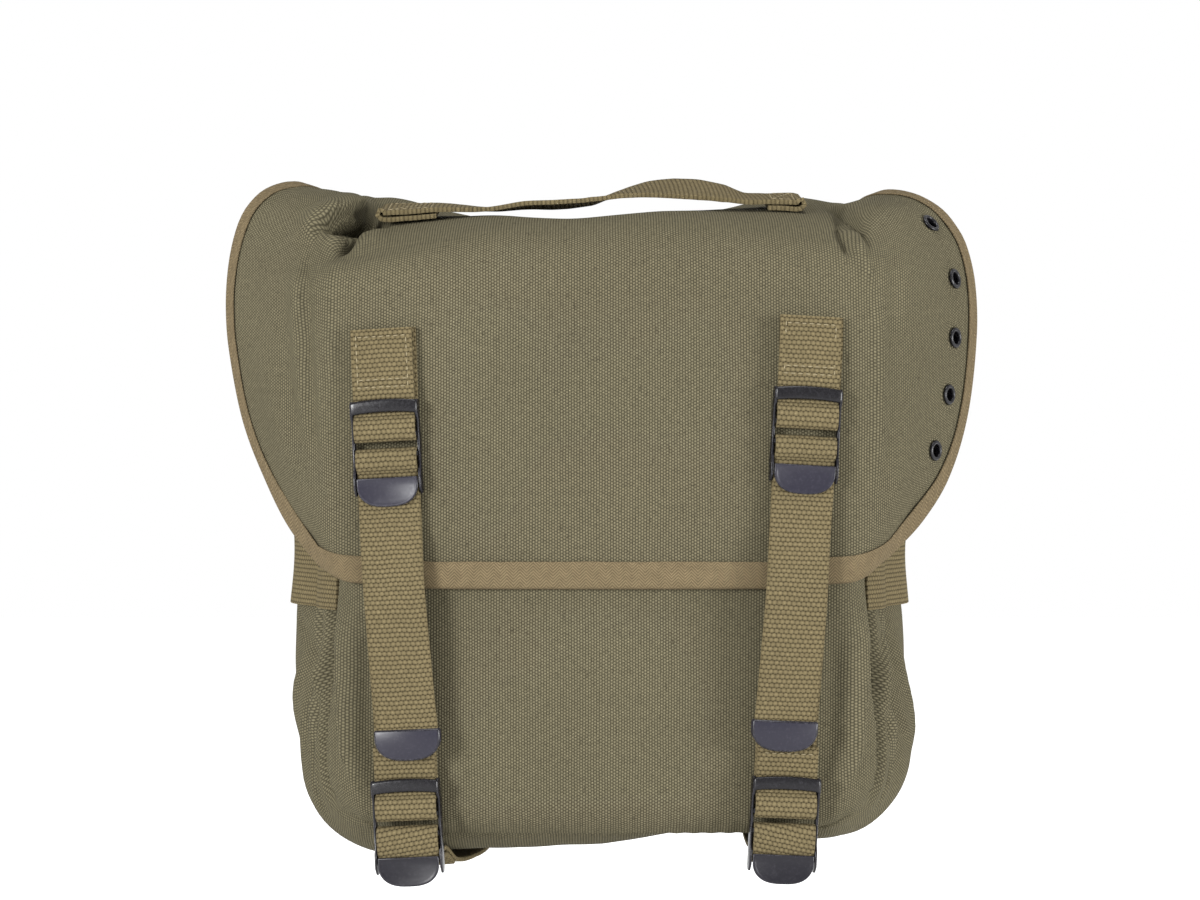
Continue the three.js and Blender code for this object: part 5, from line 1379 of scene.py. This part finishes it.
# %% Handle
HANDLE_LEFT, HANDLE_RIGHT, HANDLE_RISE, HANDLE_SETBACK = -91, 82, 6, 50
HANDLE_SEWN_LEFT, HANDLE_SEWN_RIGHT = 22, 13
HANDLE_ROWS = table(
    "at room ply lean", (0, 0, 1, 13.5), (0.127, 0, 1, 10.5), (0.2, 0.08, 0.25, 8), (0.255, 0.14, 0, 5),
    (0.335, 0.6, 0, 1.5), (0.43, 0.82, 0, 0), (0.525, 0.92, 0, 3), (0.6, 0.88, 0, 14), (0.7, 0.66, 0, 22),
    (0.76, 0.58, 0, 22.5), (0.83, 0.42, 0.1, 19), (0.89, 0.05, 0.75, 11), (0.925, 0, 1, 12), (1, 0, 1, 13.5),
)
handle_y = -BODY_DEPTH + HANDLE_SETBACK


HANDLE_PLY_EASE, HANDLE_END_TURN = 0.15, 1.3  # room between two plies, and how far a doubled end stands out


def handle_lean(share):
    return math.radians(column(HANDLE_ROWS, "lean", clamp(share)))


def handle_ply(share, layer):
    x = lerp(HANDLE_LEFT, HANDLE_RIGHT, share)
    lean = handle_lean(share)
    reach = math.cos(lean) * WEBBING_WIDTH / 2
    lid = max(lid_height(x, handle_y + s * reach) - s * reach * math.tan(lean) for s in (-1, -0.5, 0, 0.5, 1))
    lifted = layer * (LAYER + HANDLE_PLY_EASE) * column(HANDLE_ROWS, "ply", share)
    room = HANDLE_RISE * column(HANDLE_ROWS, "room", share)
    return Vector((x, handle_y, lid + CANVAS / 2 + FIRST_PLY + lifted + room))


handle_length = HANDLE_RIGHT - HANDLE_LEFT
left, right = HANDLE_SEWN_LEFT / handle_length, 1 - HANDLE_SEWN_RIGHT / handle_length


def handle_end(share, way):
    return handle_ply(share, 0).lerp(handle_ply(share, 1), 0.5) + Vector((way * HANDLE_END_TURN, 0, 0))


grip = (0.18, 0.225, 0.27, 0.34, 0.42, 0.5, 0.57, 0.64, 0.7, 0.76, 0.82, 0.87)
handle_stops = [(handle_ply(share, 0), share) for share in (left, left / 2, 0)]
handle_stops += [(handle_end(0, -1), 0)]
upper_ply = (0, left / 2, left, *grip, right, (1 + right) / 2, 1)
handle_stops += [(handle_ply(share, 1), share) for share in upper_ply]
handle_stops += [(handle_end(1, 1), 1)]
handle_stops += [(handle_ply(share, 0), share) for share in (1, (1 + right) / 2, right)]
leans = [(place, handle_lean(share)) for place, share in handle_stops]
ribbon("handle_webbing", [(place, Vector((0, math.cos(a), math.sin(a)))) for place, a in leans], ["handle"])
half = WEBBING_WIDTH / 2 - 2.4
for low, high in ((0.012, left - 0.012), (right + 0.01, 0.988)):
    corners = [(low, -half), (low, half), (high, half), (high, -half), (low, -half), (high, half)]
    corner_places, corner_normals = [], []
    for share, reach in corners:
        lean = handle_lean(share)
        normal = Vector((0, -math.sin(lean), math.cos(lean)))
        reach_way = Vector((0, math.cos(lean), math.sin(lean)))
        corner_places.append(handle_ply(share, 1) + reach_way * reach + normal * WEBBING / 2)
        corner_normals.append(normal)
    seam(corner_places, corner_normals, STRAP_PITCH, inset=0.1)
sew("handle_stitches", "webbing")

# %% Belt loops
BELT_WIDTH, LOOP_ROOM, LOOP_SEW, LOOP_HALF_SPACING = 57, 6.5, 16, 62
LOOP_RAMP = 3.5
near, far, loop_half = FIRST_PLY, LOOP_ROOM + WEBBING / 2, BELT_WIDTH / 2 + LOOP_RAMP
loop_path = [
    (near, -loop_half - LOOP_SEW), (near, -loop_half - LOOP_RAMP), (far, -loop_half + LOOP_RAMP), (far, 0),
    (far, loop_half - LOOP_RAMP), (near, loop_half + LOOP_RAMP), (near, loop_half + LOOP_SEW),
]
for side, sign in (("left", -1), ("right", 1)):
    points = [
        (Vector((sign * LOOP_HALF_SPACING, y, BELT_HEIGHT + z)), Vector((1, 0, 0))) for y, z in loop_path
    ]
    ribbon(f"belt_loop_{side}_webbing", points, [f"belt_loop_{side}"])
    for way in (-1, 1):
        low, high = (loop_half + 5) * way + BELT_HEIGHT, (loop_half + LOOP_SEW - 2.5) * way + BELT_HEIGHT
        corners = [(-half, low), (half, low), (half, high), (-half, high), (-half, low), (half, high)]
        places = [Vector((sign * LOOP_HALF_SPACING + x, near + WEBBING / 2, z)) for x, z in corners]
        seam(places, [Vector((0, 1, 0))] * len(places), STRAP_PITCH, inset=0.1)
sew("belt_loop_stitches", "webbing")

# %% [markdown]
# ## Eyelets
# Five small black enamelled rings are pressed through the edge of the right wing. A ring's section is spun
# round its axis: a rolled flange on each face and a straight barrel between them.

# %% Spin one ring for each hole in the flap
EYELET_FLANGE_RADIUS, EYELET_HOLE_RADIUS, EYELET_METAL = 4.3, 2.6, 0.5
face = CANVAS / 2 + GAP + FACET_GAP
flange, barrel = EYELET_FLANGE_RADIUS, EYELET_HOLE_RADIUS
outer_half = [
    (barrel, face), (barrel + 0.25, face + EYELET_METAL), (barrel + 0.9, face + EYELET_METAL * 1.1),
    (flange - 0.35, face + EYELET_METAL * 0.8), (flange, face - 0.1), (flange - 0.5, face - 0.4),
    (barrel + 0.5, face - 0.4),
]
section = [(barrel, -face)] + outer_half + [(radius, -height) for radius, height in reversed(outer_half[1:])]
for number, (centre, normal) in enumerate(eyelets, 1):
    bm = bmesh.new()
    ring = [bm.verts.new((radius, 0, height)) for radius, height in section]
    loop = [bm.edges.new((a, b)) for a, b in zip(ring, ring[1:] + ring[:1])]
    bmesh.ops.spin(
        bm, geom=ring + loop, cent=(0, 0, 0), axis=(0, 0, 1), angle=2 * math.pi, steps=32, use_merge=True
    )
    bmesh.ops.remove_doubles(bm, verts=bm.verts, dist=1e-4)
    turn = Vector((0, 0, 1)).rotation_difference(normal).to_matrix().to_4x4()
    settle(bm, Matrix.Translation(centre) @ turn)
    finish_piece(f"eyelet_{number}_ring", bm, black_enamel, STEEL, [f"eyelet_{number}"], [worn_edge])
